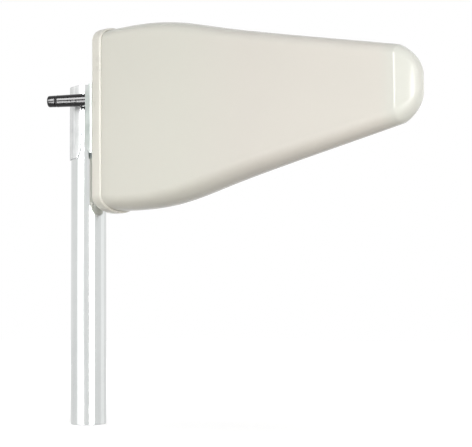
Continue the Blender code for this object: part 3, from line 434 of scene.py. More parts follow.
class Finish:
    """A node material with a principled shader and a few helpers."""

    def __init__(self, name, metallic=0.0, **sockets):
        self.material = bpy.data.materials.new(name)
        self.material.use_nodes = True
        self.tree = self.material.node_tree
        self.shader = self.tree.nodes["Principled BSDF"]
        set_inputs(self.shader, Metallic=metallic, **sockets)
        self.place = self.node("ShaderNodeTexCoord").outputs["Object"]

    def node(self, kind):
        return self.tree.nodes.new(kind)

    def link(self, output, target):
        self.tree.links.new(output, target)

    def stretched(self, scale):
        mapping = self.node("ShaderNodeMapping")
        set_inputs(mapping, Scale=scale)
        self.link(self.place, mapping.inputs["Vector"])
        return mapping.outputs["Vector"]

    def noise(self, scale, detail, roughness, stretch=None, distortion=0.0):
        node = self.node("ShaderNodeTexNoise")
        set_inputs(node, Scale=scale, Detail=detail, Roughness=roughness, Distortion=distortion)
        self.link(self.stretched(stretch) if stretch else self.place, node.inputs["Vector"])
        return node.outputs["Fac"]

    def cells(self, scale):
        node = self.node("ShaderNodeTexVoronoi")
        set_inputs(node, Scale=scale)
        self.link(self.place, node.inputs["Vector"])
        return node.outputs["Color"]

    def ramp(self, factor, *stops):
        node = self.node("ShaderNodeValToRGB")
        elements = node.color_ramp.elements
        while len(elements) < len(stops):
            elements.new(0.5)
        for element, (position, colour) in zip(elements, stops):
            element.position = position
            element.color = (*colour, 1.0)
        self.link(factor, node.inputs["Fac"])
        return node.outputs["Color"]

    def span(self, factor, low, high, start=0.3, end=0.7):
        node = self.node("ShaderNodeMapRange")
        set_inputs(node, From_Min=start, From_Max=end, To_Min=low, To_Max=high)
        self.link(factor, node.inputs["Value"])
        return node.outputs["Result"]

    def mix(self, factor, first, second, kind="MIX"):
        node = self.node("ShaderNodeMix")
        node.data_type = "RGBA"
        node.blend_type = kind
        set_inputs(node, Factor=factor)
        self.link(first, node.inputs["A"])
        self.link(second, node.inputs["B"])
        return node.outputs["Result"]

    def colour(self, output):
        self.link(output, self.shader.inputs["Base Color"])

    def rough(self, output):
        self.link(output, self.shader.inputs["Roughness"])

    def bump(self, height, strength, distance):
        node = self.node("ShaderNodeBump")
        set_inputs(node, Strength=strength, Distance=distance)
        self.link(height, node.inputs["Height"])
        self.link(node.outputs["Normal"], self.shader.inputs["Normal"])


def grey(level):
    return (level, level, level)


def moulded(name, dark, light, rough, grain, **sockets):
    """Moulded plastic: cloudy colour, fine grain, uneven gloss."""
    finish = Finish(name, **sockets)
    cloud = finish.noise(7.0, detail=4.0, roughness=0.55, distortion=0.4)
    speck = finish.noise(900.0, detail=2.0, roughness=0.6)
    base = finish.ramp(cloud, (0.32, dark), (0.68, light))
    fleck = finish.ramp(speck, (0.30, grey(0.985)), (0.62, grey(1.0)))
    finish.colour(finish.mix(0.6, base, fleck, "MULTIPLY"))
    finish.rough(finish.span(finish.noise(38.0, detail=5.0, roughness=0.6), *rough))
    finish.bump(finish.noise(grain, detail=2.0, roughness=0.5), strength=0.06, distance=0.10 * MM)
    return finish


def drawn(name, dark, light, rough, streak, strength=0.12):
    """Bright drawn metal: streaks along one axis in colour, gloss and height."""
    finish = Finish(name, metallic=1.0)
    lines = finish.noise(1.0, detail=4.0, roughness=0.6, stretch=streak)
    cloud = finish.noise(30.0, detail=4.0, roughness=0.6)
    tones = [finish.ramp(factor, (0.3, dark), (0.7, light)) for factor in (lines, cloud)]
    finish.colour(finish.mix(0.5, *tones))
    finish.rough(finish.span(finish.noise(1.3, detail=5.0, roughness=0.65, stretch=streak), *rough))
    finish.bump(lines, strength, distance=0.06 * MM)
    return finish.material


def plated(name, dark, light, rough, scale):
    """Zinc or nickel plating: fine crystals, stains and uneven gloss."""
    finish = Finish(name, metallic=1.0)
    grains = finish.cells(scale)
    stain = finish.noise(55.0, detail=5.0, roughness=0.62, distortion=0.6)
    base = finish.ramp(stain, (0.30, dark), (0.70, light))
    tone = finish.ramp(grains, (0.0, grey(0.93)), (1.0, grey(1.0)))
    finish.colour(finish.mix(0.7, base, tone, "MULTIPLY"))
    finish.rough(finish.span(finish.noise(140.0, detail=4.0, roughness=0.6), *rough))
    finish.bump(finish.noise(700.0, detail=3.0, roughness=0.55), strength=0.12, distance=0.06 * MM)
    return finish.material


def radome_finish():
    """The radome's cream, a little pinker along the flank and cooler on the dome."""
    dark, light = (0.714, 0.710, 0.643), (0.726, 0.720, 0.652)
    white, pink, cool = grey(1.0), (1.0, 0.972, 0.988), (0.970, 0.984, 1.0)
    finish = moulded("radome_cream", dark, light, (0.14, 0.18), grain=1500.0, Specular_IOR_Level=0.18)
    base = finish.shader.inputs["Base Color"].links[0].from_socket
    split = finish.node("ShaderNodeSeparateXYZ")
    finish.link(finish.place, split.inputs["Vector"])
    run = finish.span(split.outputs["X"], 0.0, 1.0, REAR_STANDOFF, REAR_STANDOFF + SHELL_LENGTH)
    tint = finish.ramp(run, (0.30, white), (0.52, pink), (0.90, pink), (0.945, cool))
    finish.colour(finish.mix(1.0, base, tint, "MULTIPLY"))
    return finish.material


CREAM = radome_finish()
CAP_CREAM = moulded(
    "cap_cream",
    dark=(0.720, 0.708, 0.642),
    light=(0.734, 0.720, 0.654),
    rough=(0.26, 0.31),
    grain=1300.0,
    Specular_IOR_Level=0.45,
).material
CHROME = drawn(
    "bright_tube",
    dark=(0.615, 0.635, 0.630),
    light=(0.685, 0.700, 0.695),
    rough=(0.09, 0.17),
    streak=(420.0, 420.0, 4.0),
)
STRAP = drawn(
    "bright_strap",
    dark=(0.430, 0.445, 0.440),
    light=(0.800, 0.805, 0.800),
    rough=(0.32, 0.46),
    streak=(380.0, 380.0, 4.0),
    strength=0.3,
)
SHEET = plated(
    "zinc_sheet", dark=(0.380, 0.415, 0.395), light=(0.470, 0.500, 0.480), rough=(0.30, 0.42), scale=420.0
)
FASTENER = plated(
    "zinc_fastener", dark=(0.60, 0.61, 0.59), light=(0.72, 0.725, 0.70), rough=(0.18, 0.32), scale=900.0
)
NICKEL = plated(
    "nickel_plate", dark=(0.61, 0.59, 0.54), light=(0.70, 0.685, 0.64), rough=(0.16, 0.28), scale=1100.0
)
BRASS = drawn(
    "contact_brass",
    dark=(0.640, 0.470, 0.190),
    light=(0.760, 0.590, 0.290),
    rough=(0.18, 0.32),
    streak=(900.0, 60.0, 900.0),
)
ALUMINIUM = drawn(
    "array_aluminium",
    dark=(0.700, 0.710, 0.720),
    light=(0.800, 0.805, 0.810),
    rough=(0.22, 0.40),
    streak=(12.0, 900.0, 40.0),
)
NYLON = moulded(
    "block_nylon", dark=(0.690, 0.675, 0.610), light=(0.770, 0.760, 0.710), rough=(0.42, 0.58), grain=1100.0
).material
INSULATOR = moulded(
    "white_insulator",
    dark=(0.800, 0.800, 0.785),
    light=(0.860, 0.860, 0.850),
    rough=(0.36, 0.50),
    grain=1800.0,
).material
RUBBER = moulded(
    "seal_rubber", dark=(0.020, 0.020, 0.021), light=(0.038, 0.038, 0.039), rough=(0.62, 0.82), grain=1600.0
).material
JACKET = moulded(
    "coax_jacket", dark=(0.030, 0.030, 0.031), light=(0.048, 0.048, 0.050), rough=(0.42, 0.58), grain=1400.0
).material
BOOT = moulded(
    "boot_black",
    dark=(0.0075, 0.0075, 0.0085),
    light=(0.0135, 0.0135, 0.0150),
    rough=(0.10, 0.18),
    grain=1200.0,
    Specular_IOR_Level=0.15,
    Coat_Weight=0.25,
    Coat_Roughness=0.05,
).material

NODE_FINISH = {
    "boom_foot": ALUMINIUM,
    "boom_near": ALUMINIUM,
    "boom_far": ALUMINIUM,
    "boom_spacer_rear": NYLON,
    "boom_spacer_front": NYLON,
    "nose_support": NYLON,
    "feed_jumper": BRASS,
    "feed_coax": JACKET,
    "connector_seat": RUBBER,
    "jack_dielectric": INSULATOR,
    "jack_pin": BRASS,
    "jack_nut": NICKEL,
    "cap_seal": RUBBER,
}
for name, node in frame["nodes"].items():
    node_finish = NODE_FINISH.get(name, ALUMINIUM if name.startswith("dipole") else FASTENER)
    node.data.materials.clear()
    node.data.materials.append(node_finish)


# Radome and cap


def bezier(points, t):
    s = 1.0 - t
    weights = (s**3, 3 * s * s * t, 3 * s * t * t, t**3)
    return tuple(sum(w * p[i] for w, p in zip(weights, points)) for i in range(2))


def blend(x, rear, nose):
    """A size that runs straight from the cap's front edge to the start of the dome."""
    share = (x - CAP_DEPTH) / (NOSE_START - CAP_DEPTH)
    return rear + (nose - rear) * max(share, 0.0)


def shell_ring(x, thick, high, crown, inset, steps):
    """A section with flat sides and a half ellipse at its top and bottom."""
    across, rise = thick - inset - CROWN_FLAT, crown - inset
    ring = []
    for quarter, (sign_y, sign_z) in enumerate(((1, 1), (-1, 1), (-1, -1), (1, -1))):
        for i in range(steps + 1):
            angle = (quarter + i / steps) * QUARTER
            y = sign_y * CROWN_FLAT + across * math.cos(angle)
            z = sign_z * (high - crown) + rise * math.sin(angle)
            ring.append(at(x, y, z))
    return ring


def shell_profile(steps):
    """(x, half height) pairs from the shell's rear edge to the start of the dome."""
    rear = (CAP_DEPTH, SHELL_REAR_HALF_HEIGHT)
    taper = (TAPER_START, TAPER_HALF_HEIGHT)
    nose = (NOSE_START, NOSE_HALF_HEIGHT)
    shoulder = (
        rear,
        (rear[0] + SHOULDER_HANDLE, rear[1] + SHOULDER_SWELL),
        (taper[0] - TAPER_LEAD, taper[1] + TAPER_LEAD * TAPER_SLOPE),
        taper,
    )
    flank = (
        taper,
        (taper[0] + TAPER_RUN, taper[1] - TAPER_RUN * TAPER_SLOPE),
        (nose[0] - NOSE_RUN, nose[1] + NOSE_RUN * NOSE_SLOPE),
        nose,
    )
    pairs = [(SHELL_REAR_X, SHELL_REAR_HALF_HEIGHT), rear]
    for points in (shoulder, flank):
        pairs += [bezier(points, i / steps) for i in range(1, steps + 1)]
    return pairs


def dome_ring(base, scale, wall):
    lift = (DOME_REACH - wall) * (1.0 - scale**DOME_FULLNESS)
    ring = []
    for point in base:
        y = DATUM.y + (point.y - DATUM.y) * scale
        z = DATUM.z + (point.z - DATUM.z) * scale
        ring.append(Vector((point.x + lift, y, z)))
    return ring


def shell_skin(wall, run_steps, nose_steps):
    """Rings of the shell's outer face, or of its inner face where wall is its thickness."""
    rings = []
    for x, high in shell_profile(run_steps):
        if x < NOSE_START - FOLD:
            thick = blend(x, SHELL_REAR_HALF_THICKNESS, NOSE_HALF_THICKNESS)
            crown = blend(x, SHELL_REAR_CROWN, NOSE_CROWN)
            rings.append(shell_ring(x, thick, high, crown, wall, RING_STEPS))
    base = shell_ring(NOSE_START, NOSE_HALF_THICKNESS, NOSE_HALF_HEIGHT, NOSE_CROWN, wall, RING_STEPS)
    last_ring = rings[-1]
    share = FOLD / (NOSE_START + DATUM.x - last_ring[0].x)
    before = [point.lerp(other, share) for point, other in zip(base, last_ring)]
    after = dome_ring(base, FOLD_SCALE, wall)
    for i in range(FOLD_STEPS + 1):
        t = i / FOLD_STEPS
        first, middle, last = (1 - t) ** 2, 2 * t * (1 - t), t * t
        rings.append([a * first + b * middle + c * last for a, b, c in zip(before, base, after)])
    tip_steps = nose_steps + 0.6  # the last ring stays a little short of the tip
    for i in range(1, nose_steps + 1):
        rings.append(dome_ring(base, FOLD_SCALE * (1.0 - i / tip_steps), wall))
    return rings


def boss_centres():
    """(y, z) of the four screw bosses, sunk into the crowns of the shell's inner face."""
    wide = SHELL_REAR_HALF_THICKNESS - SHELL_WALL - CROWN_FLAT
    deep = SHELL_REAR_CROWN - SHELL_WALL
    slope = math.hypot(wide, deep)
    share = math.sqrt(0.5)
    back = BOSS_RADIUS - BOSS_SINK
    y = CROWN_FLAT + share * wide - back * deep / slope
    z = SHELL_REAR_HALF_HEIGHT - SHELL_REAR_CROWN + share * deep - back * wide / slope
    return [(y, z), (-y, z), (-y, -z), (y, -z)]


def make_radome():
    bm = bmesh.new()
    outer = shell_skin(0.0, run_steps=44, nose_steps=22)
    inner = shell_skin(SHELL_WALL, run_steps=16, nose_steps=8)
    loft(bm, outer[::-1] + inner)
    bore = CAP_SCREW_RADIUS + GAP
    floor = BOSS_LENGTH - BOSS_FLOOR
    profile = [
        (0.0, BOSS_LENGTH),
        (BOSS_RADIUS - BOSS_FRONT_EASE, BOSS_LENGTH),
        (BOSS_RADIUS, BOSS_LENGTH - BOSS_FRONT_EASE),
        (BOSS_RADIUS, BOSS_REAR_EASE),
        (BOSS_RADIUS - BOSS_REAR_EASE, 0.0),
        (BOSS_LEAD_IN_RADIUS, 0.0),
        (bore, BOSS_LEAD_IN),
        (bore, floor),
        (0.0, floor),
    ]
    for y, z in boss_centres():
        turned(bm, profile, BOSS_SIDES, along(at(SHELL_REAR_X + BOSS_SINK, y, z), (1.0, 0.0, 0.0)))
    obj = mesh_object("radome_skin", bm)
    finish_piece(obj, "head", CREAM, ["radome_shell"], sharp=50.0, weighted=False)


def outlet_cutter(radius):
    reach = OUTLET_AXIS * OUTLET_CUT
    return rod(radius, OUTLET - reach, OUTLET + reach, OUTLET_SIDES)


def make_cap():
    def ring(x, inset):
        return shell_ring(x, CAP_HALF_THICKNESS, CAP_HALF_HEIGHT, CAP_CROWN, inset, CAP_STEPS)

    rings = []
    for angle in quarter_turn(steps=8):
        rings.append(ring(CAP_REAR_EDGE * (1 - math.cos(angle)), CAP_REAR_EDGE * (1 - math.sin(angle))))
    for angle in quarter_turn(steps=6):
        rings.append(ring(CAP_DEPTH - CAP_LIP * (1 - math.sin(angle)), CAP_LIP * (1 - math.cos(angle))))
    rings.append(ring(CAP_DEPTH, CAP_SKIRT - CAP_INNER_EASE))
    rings.append(ring(CAP_DEPTH - CAP_INNER_EASE, CAP_SKIRT))
    rings.append(ring(CAP_FLOOR, CAP_SKIRT))
    bm = bmesh.new()
    loft(bm, rings)
    obj = mesh_object("cap_skin", bm)
    low, high = -PAST, CAP_FLOOR + PAST
    cutters = [rod(CAP_SCREW_RADIUS + GAP, at(low, y, z), at(high, y, z)) for y, z in boss_centres()]
    cutters += hole_pair(BOLT_HOLE, 0.0, BOLT_Z, 0.0, CAP_FLOOR)
    cutters.append(outlet_cutter(SEAT_RADIUS + GAP))
    carve(obj, cutters)
    finish_piece(obj, "head", CAP_CREAM, ["rear_cap"], sharp=35.0)


# Mast and clamp


def make_mast():
    top = AXIS_HEIGHT + MAST_ABOVE_AXIS
    inner = MAST_RADIUS - MAST_WALL
    profile = []
    for edge, side in ((0.0, 1), (top, -1)):
        corners = []
        for radius, out in ((MAST_RADIUS, -1), (inner, 1)):
            for angle in quarter_turn(steps=3):
                turn = angle if out < 0 else QUARTER - angle
                inward = MAST_EASE * (1 - math.cos(turn))
                rise = MAST_EASE * (1 - math.sin(turn))
                corners.append((radius + out * inward, edge + side * rise))
        profile += corners if side > 0 else corners[::-1]
    bm = bmesh.new()
    turned(bm, profile, MAST_SIDES, along(Vector(), (0.0, 0.0, 1.0)))
    obj = mesh_object("mast_bright_tube", bm)
    finish_piece(obj, "mast", CHROME, ["mast_tube"], sharp=45.0)


def channel(back, front, half_width):
    """Pairs (x, y) of a bent channel whose web faces +X at front and whose legs end at back."""
    inner = BEND - SHEET_GAUGE
    centre_x, centre_y = front - BEND, half_width - BEND
    angles = quarter_turn(BEND_STEPS)
    side = [(centre_x + BEND * math.cos(a), centre_y + BEND * math.sin(a)) for a in angles]
    side += [(back, half_width), (back, half_width - SHEET_GAUGE)]
    side += [(centre_x + inner * math.cos(a), centre_y + inner * math.sin(a)) for a in reversed(angles)]
    return side + [(x, -y) for x, y in reversed(side)]


def flat_cutter(outline, low, high):
    bm = bmesh.new()
    prism(bm, outline, low, high, "Y")
    return bm


def chamfer(edge, depth, level, height):
    """Pairs (x, z) of a triangle that takes a corner off, and runs past its two edges."""
    return [
        (edge + 1.5 * depth, level + 0.5 * height),
        (edge - 0.5 * depth, level - 1.5 * height),
        (edge - 0.5 * depth, level + 0.5 * height),
    ]


def make_bracket():
    half, reach = BRACKET_HALF_HEIGHT, BRACKET_HALF_WIDTH + PAST
    bm = bmesh.new()
    prism(bm, channel(BRACKET_BACK, BRACKET_FRONT, BRACKET_HALF_WIDTH), -half, half, "Z")
    obj = mesh_object("bracket_tray", bm)
    cutters = []
    for side in (-1, 1):
        outline = chamfer(BRACKET_BACK, BRACKET_CHAMFER_DEPTH, side * half, side * BRACKET_CHAMFER_HEIGHT)
        cutters.append(flat_cutter(outline, -reach, reach))
    cutters += hole_pair(BOLT_HOLE, 0.0, BOLT_Z, BRACKET_REAR, BRACKET_FRONT)
    cutters += hole_pair(STUD_HOLE, STUD_Y, STUD_Z, BRACKET_REAR, BRACKET_FRONT)
    cutters.append(outlet_cutter(BOOT_ROOT_RADIUS + GAP))
    carve(obj, cutters)
    soften(obj, BRACKET_EASE)
    finish_piece(obj, "head", SHEET, ["mast_bracket"])


def make_cradle():
    inner = CRADLE_HALF_WIDTH - SHEET_GAUGE
    back = math.sqrt((MAST_RADIUS + GAP) ** 2 - inner**2) - REAR_STANDOFF
    half = BRACKET_HALF_HEIGHT
    bm = bmesh.new()
    prism(bm, channel(back, CRADLE_FRONT, CRADLE_HALF_WIDTH), -half, half, "Z")
    obj = mesh_object("cradle_channel", bm)
    carve(obj, hole_pair(BOLT_HOLE, 0.0, BOLT_Z, CRADLE_REAR, CRADLE_FRONT))
    soften(obj, CLAMP_EASE)
    finish_piece(obj, "head", SHEET, ["mast_cradle"])


def make_strap():
    inner = MAST_RADIUS + GAP
    outer = inner + STRAP_GAUGE
    near = STRAP_NEAR_LEG - REAR_STANDOFF
    ear_end = outer + STRAP_EAR

    def arc(radius):
        angles = [-QUARTER - math.pi * i / STRAP_STEPS for i in range(STRAP_STEPS + 1)]
        return [(radius * math.cos(a) - REAR_STANDOFF, radius * math.sin(a)) for a in angles]

    def bend(radius):
        centre_x, centre_y = EAR_REAR - STRAP_BEND, outer + STRAP_BEND
        angles = [a - QUARTER for a in quarter_turn(STRAP_BEND_STEPS)]
        return [(centre_x + radius * math.cos(a), centre_y + radius * math.sin(a)) for a in angles]

    outline = [(near, STRAP_EDGE - outer), (near - STRAP_EDGE, -outer)]
    outline += arc(outer) + bend(STRAP_BEND)
    outline += [(EAR_REAR, ear_end), (EAR_FRONT, ear_end)]
    outline += bend(STRAP_BEND + STRAP_GAUGE)[::-1] + arc(inner)[::-1] + [(near, -inner)]
    bm = bmesh.new()
    prism(bm, outline, -STRAP_HALF_HEIGHT, STRAP_HALF_HEIGHT, "Z")
    obj = mesh_object("strap_band", bm)
    corner = chamfer(near, -STRAP_CHAMFER_DEPTH, -STRAP_HALF_HEIGHT, -STRAP_CHAMFER_HEIGHT)
    cutters = [flat_cutter(corner, -outer - PAST, -inner + PAST)]
    carve(obj, cutters + hole_pair(STUD_HOLE, STUD_Y, STUD_Z, EAR_REAR, EAR_FRONT))
    soften(obj, CLAMP_EASE)
    finish_piece(obj, "strap", STRAP, ["mast_strap"])


def thread(bm, place, start, end, radius, pitch, depth, head, tail, sides=THREAD_SIDES):
    """A threaded run from start to end, with plain (radius, run) pairs before and after it."""
    rows = round(abs(end - start) / pitch * THREAD_ROWS)
    angles = full_turn(sides)

    def plain(size, run):
        return [bm.verts.new(place(size, run, angle)) for angle in (angles if size else [0.0])]

    def cut(run, fade):
        loop = []
        for angle in angles:
            phase = (run / pitch - angle / (2 * math.pi)) % 1.0
            tooth = min(1.0, max(0.0, abs(2 * phase - 1.0) * TOOTH_STEEPNESS - TOOTH_ROOT))
            loop.append(bm.verts.new(place(radius - depth * fade * tooth, run, angle)))
        return loop

    loops = [plain(size, run) for size, run in head]
    for i in range(rows + 1):
        fade = min(1.0, i / THREAD_ROWS, (rows - i) / THREAD_ROWS)
        loops.append(cut(start + (end - start) * i / rows, fade))
    loops += [plain(size, run) for size, run in tail]
    for low, high in zip(loops, loops[1:]):
        bridge(bm, low, high)


def point_profile(pairs, tip, sign):
    """(radius, run) pairs of a screw's end, from pairs in millimetres behind its tip."""
    return [(radius * MM, tip - sign * back * MM) for radius, back in pairs]


def hexagon_form(bm, place, flats, low, high, hole, chamfer_high=True):
    """A hexagon with turned chamfers, and a hole unless it is zero."""
    seat = flats / 2 * HEXAGON_SEAT
    sixth = math.pi / 3
    angles = full_turn(HEXAGON_SIDES)

    def corner(angle):
        return flats / 2 / math.cos((angle + sixth / 2) % sixth - sixth / 2)

    def circle(radius, run):
        return [bm.verts.new(place(radius, run, a)) for a in angles]

    def wall(run, slope):
        return [bm.verts.new(place(corner(a), run + slope * (corner(a) - seat), a)) for a in angles]

    slope = math.tan(HEXAGON_CHAMFER)
    loops = []
    if hole:
        loops += [circle(hole, low + HEXAGON_EASE), circle(hole + HEXAGON_EASE, low)]
    loops += [circle(seat, low), wall(low, slope), wall(high, -slope if chamfer_high else 0.0)]
    loops.append(circle(seat, high))
    if hole:
        loops += [circle(hole + HEXAGON_EASE, high), circle(hole, high - HEXAGON_EASE)]
    for first, second in zip(loops, loops[1:]):
        bridge(bm, first, second)
    if hole:
        bridge(bm, loops[-1], loops[0])
    else:
        bm.faces.new(loops[0])
        bm.faces.new(loops[-1])


def make_stud(level, place):
    root, tip = -2 * GAP, -STUD_LENGTH
    collar = BRACKET_REAR - GAP
    collar_end = collar - STUD_COLLAR
    head = [
        (0.0, root),
        (STUD_RADIUS - STUD_EASE, root),
        (STUD_RADIUS, root - STUD_EASE),
        (STUD_RADIUS, collar),
        *eased_collar(STUD_COLLAR_RADIUS, STUD_COLLAR_EASE, collar, collar_end),
        (STUD_RADIUS, collar_end),
        (STUD_RADIUS, -STUD_PLAIN),
    ]
    tail = point_profile(STUD_POINT, tip, -1)
    start, end = -STUD_PLAIN - STUD_LEAD, tip + STUD_RUN_OUT
    bm = bmesh.new()
    thread(bm, place, start, end, STUD_RADIUS, STUD_PITCH, STUD_CUT, head, tail)
    obj = mesh_object(f"stud_threaded_{level}", bm)
    finish_piece(obj, "head", FASTENER, [f"clamp_stud_{level}"], weighted=False)


def make_washer(level, place, front):
    back = front - CLAMP_WASHER
    profile = [
        (STUD_HOLE, front - WASHER_EASE),
        (STUD_HOLE + WASHER_EASE, front),
        *eased_collar(CLAMP_WASHER_RADIUS, WASHER_EASE, front, back),
        (STUD_HOLE + WASHER_EASE, back),
        (STUD_HOLE, back + WASHER_EASE),
    ]
    bm = bmesh.new()
    turned(bm, profile, WASHER_SIDES, place)
    obj = mesh_object(f"washer_{level}", bm)
    finish_piece(obj, "strap", FASTENER, [f"clamp_washer_{level}"])


def make_clamp_fasteners():
    washer = EAR_REAR - GAP
    nut = washer - CLAMP_WASHER - GAP
    for level, z in (("upper", STUD_Z), ("lower", -STUD_Z)):
        place = along(at(0.0, STUD_Y, z), (1.0, 0.0, 0.0))
        make_stud(level, place)
        make_washer(level, place, washer)
        bm = bmesh.new()
        hexagon_form(bm, place, CLAMP_NUT_FLATS, nut - CLAMP_NUT_HEIGHT, nut, STUD_HOLE)
        obj = mesh_object(f"nut_hex_{level}", bm)
        finish_piece(obj, f"nut_{level}", FASTENER, [f"clamp_nut_{level}"], sharp=25.0)


def make_bracket_bolts():
    head = CRADLE_REAR - GAP
    nut = CAP_FLOOR + GAP + FOOT_THICKNESS + GAP
    tip = nut + BOLT_NUT + BOLT_TAIL
    shank = [(0.0, head - BOLT_SUNK), (BOLT_RADIUS, head - BOLT_SUNK), (BOLT_RADIUS, 0.0)]
    tail = point_profile(BOLT_POINT, tip, 1)
    for level, z in (("upper", BOLT_Z), ("lower", -BOLT_Z)):
        place = along(at(0.0, 0.0, z), (1.0, 0.0, 0.0))
        bm = bmesh.new()
        hexagon_form(bm, place, BOLT_FLATS, head - BOLT_HEAD, head, 0.0, chamfer_high=False)
        thread(bm, place, GAP, tip - BOLT_RUN_OUT, BOLT_RADIUS, BOLT_PITCH, BOLT_CUT, shank, tail)
        obj = mesh_object(f"bolt_hex_{level}", bm)
        finish_piece(obj, "head", FASTENER, [f"bracket_bolt_{level}"], sharp=25.0)
        bm = bmesh.new()
        hexagon_form(bm, place, BOLT_FLATS, nut, nut + BOLT_NUT, BOLT_HOLE)
        obj = mesh_object(f"inner_nut_{level}", bm)
        finish_piece(obj, "head", FASTENER, [f"bracket_nut_{level}"], sharp=25.0)


def cross_recess(y, z, turn):
    """Two crossed blades that cut a screw's recess."""
    blades = []
    for angle in (turn, turn + QUARTER):
        across = Vector((0.0, math.cos(angle), math.sin(angle)))
        side = Vector((0.0, -math.sin(angle), math.cos(angle)))
        rings = []
        for run, reach, half in RECESS:
            corners = ((-reach, -half), (reach, -half), (reach, half), (-reach, half))
            rings.append([at(run * MM, y, z) + across * (a * MM) + side * (b * MM) for a, b in corners])
        blade = bmesh.new()
        loft(blade, rings)
        blades.append(blade)
    return blades


def make_cap_screws():
    """Pan-head screws with a cross recess."""
    seat, rim = -GAP, -GAP - CAP_SCREW_RIM
    dome = CAP_SCREW_HEAD - CAP_SCREW_RIM
    head = [(0.0, seat - CAP_SCREW_HEAD)]
    for angle in quarter_turn(steps=8)[1:]:
        radius = CAP_SCREW_HEAD_RADIUS * math.sin(angle) ** CAP_SCREW_FULLNESS
        head.append((radius, rim - dome * math.cos(angle)))
    head += [
        (CAP_SCREW_HEAD_RADIUS, seat - CAP_SCREW_EASE),
        (CAP_SCREW_HEAD_RADIUS - CAP_SCREW_EASE, seat),
        (CAP_SCREW_RADIUS, seat),
        (CAP_SCREW_RADIUS, CAP_FLOOR),
    ]
    tail = point_profile(CAP_SCREW_POINT, CAP_SCREW_LENGTH, 1)
    start, end = CAP_FLOOR + CAP_SCREW_LEAD, CAP_SCREW_LENGTH - CAP_SCREW_RUN_OUT
    for number, (y, z) in enumerate(boss_centres(), 1):
        place = along(at(0.0, y, z), (1.0, 0.0, 0.0))
        bm = bmesh.new()
        thread(bm, place, start, end, CAP_SCREW_RADIUS, CAP_SCREW_PITCH, CAP_SCREW_CUT, head, tail)
        obj = mesh_object(f"cap_screw_pan_{number}", bm)
        carve(obj, cross_recess(y, z, RECESS_TURN + RECESS_TURN_STEP * number))
        finish_piece(obj, "head", NICKEL, [f"cap_screw_{number}"], sharp=30.0)


# Outlet


def boot_radius(run):
    slope = (BOOT_ROOT_RADIUS - BOOT_END_RADIUS) / (BOOT_END - BOOT_ROOT)
    return BOOT_ROOT_RADIUS - slope * (run - BOOT_ROOT)


def boot_outside():
    """(radius, run) pairs along the boot: tapered sleeve, bead, groove and rounded end."""
    root = BOOT_ROOT + BOOT_ROOT_EASE
    pairs = [(BOOT_ROOT_RADIUS - BOOT_ROOT_EASE, BOOT_ROOT), (BOOT_ROOT_RADIUS, root)]
    sleeve_steps, bead_steps, groove_steps, end_steps = 8, 12, 12, 10
    for i in range(1, sleeve_steps + 1):
        run = root + (BOOT_BEAD - root) * i / sleeve_steps
        pairs.append((boot_radius(run), run))
    for i in range(bead_steps + 1):
        share = i / bead_steps
        run = BOOT_BEAD + BOOT_BEAD_LENGTH * share
        lift = BOOT_BEAD_HEIGHT * math.sin(math.pi * share)
        pairs.append((boot_radius(run) + lift, run + BOOT_BEAD_NUDGE))
    for i in range(groove_steps + 1):
        share = i / groove_steps
        run = BOOT_GROOVE + BOOT_GROOVE_WIDTH * (share - 0.5)
        sink = BOOT_GROOVE_DEPTH * abs(math.sin(math.pi * share)) ** BOOT_GROOVE_FULLNESS
        pairs.append((boot_radius(run) - sink, run))
    for angle in quarter_turn(end_steps):
        run = BOOT_END - BOOT_END_ROUND * (1 - math.sin(angle))
        pairs.append((boot_radius(run) - BOOT_END_ROUND * (1 - math.cos(angle)), run))
    return pairs


def boot_inside():
    """(radius, run) pairs of the boot's cavity, from its mouth back to its root."""
    jack_end = JACK_OUTER + GAP
    jack_clearance = JACK_RADIUS + GAP
    shoulder_end = BOOT_ROOT + JACK_SHOULDER + GAP
    shoulder_clearance = JACK_SHOULDER_RADIUS + GAP
    return [
        (BOOT_LEAD_HOLE + BOOT_LEAD_EASE, BOOT_END),
        (BOOT_LEAD_HOLE, BOOT_END - BOOT_LEAD_EASE),
        (BOOT_LEAD_HOLE, BOOT_END - BOOT_LIP),
        (BOOT_CAVITY_RADIUS, BOOT_END - BOOT_LIP),
        (BOOT_CAVITY_RADIUS, jack_end),
        (jack_clearance, jack_end),
        (jack_clearance, shoulder_end),
        (shoulder_clearance, shoulder_end),
        (shoulder_clearance, BOOT_ROOT),
    ]


def add_parting_ribs(bm, place):
    """A fine rib along both sides of the boot, where the mould halves met."""
    for turn in (BOOT_NEAR_SIDE, BOOT_NEAR_SIDE + math.pi):
        rings = []
        for i in range(RIB_STEPS + 1):
            run = RIB_START + RIB_LENGTH * i / RIB_STEPS
            radius = boot_radius(run)
            rings.append([place(radius + lift * MM, run, turn + offset) for lift, offset in RIB])
        loft(bm, rings)


def add_oval_pad(bm, place):
    """An oval pad with a raised rim on the boot's near side."""
    rings = []
    for scale, lift in OVAL_RIM:
        ring = []
        for angle in full_turn(OVAL_SIDES):
            run = OVAL_RUN + OVAL_HALF_LENGTH * scale * math.cos(angle)
            turn = OVAL_TURN + OVAL_HALF_TURN * scale * math.sin(angle)
            ring.append(place(boot_radius(run) + lift * MM, run, turn))
        rings.append(ring)
    loops = loft(bm, rings, closed=False)
    bridge(bm, loops[-1], loops[0])


def make_boot():
    place = along(OUTLET, OUTLET_AXIS)
    bm = bmesh.new()
    turned(bm, boot_outside() + boot_inside(), BOOT_SIDES, place)
    add_parting_ribs(bm, place)
    add_oval_pad(bm, place)
    obj = mesh_object("boot_sleeve", bm)
    finish_piece(obj, "boot", BOOT, ["connector_boot"], sharp=50.0, weighted=False)


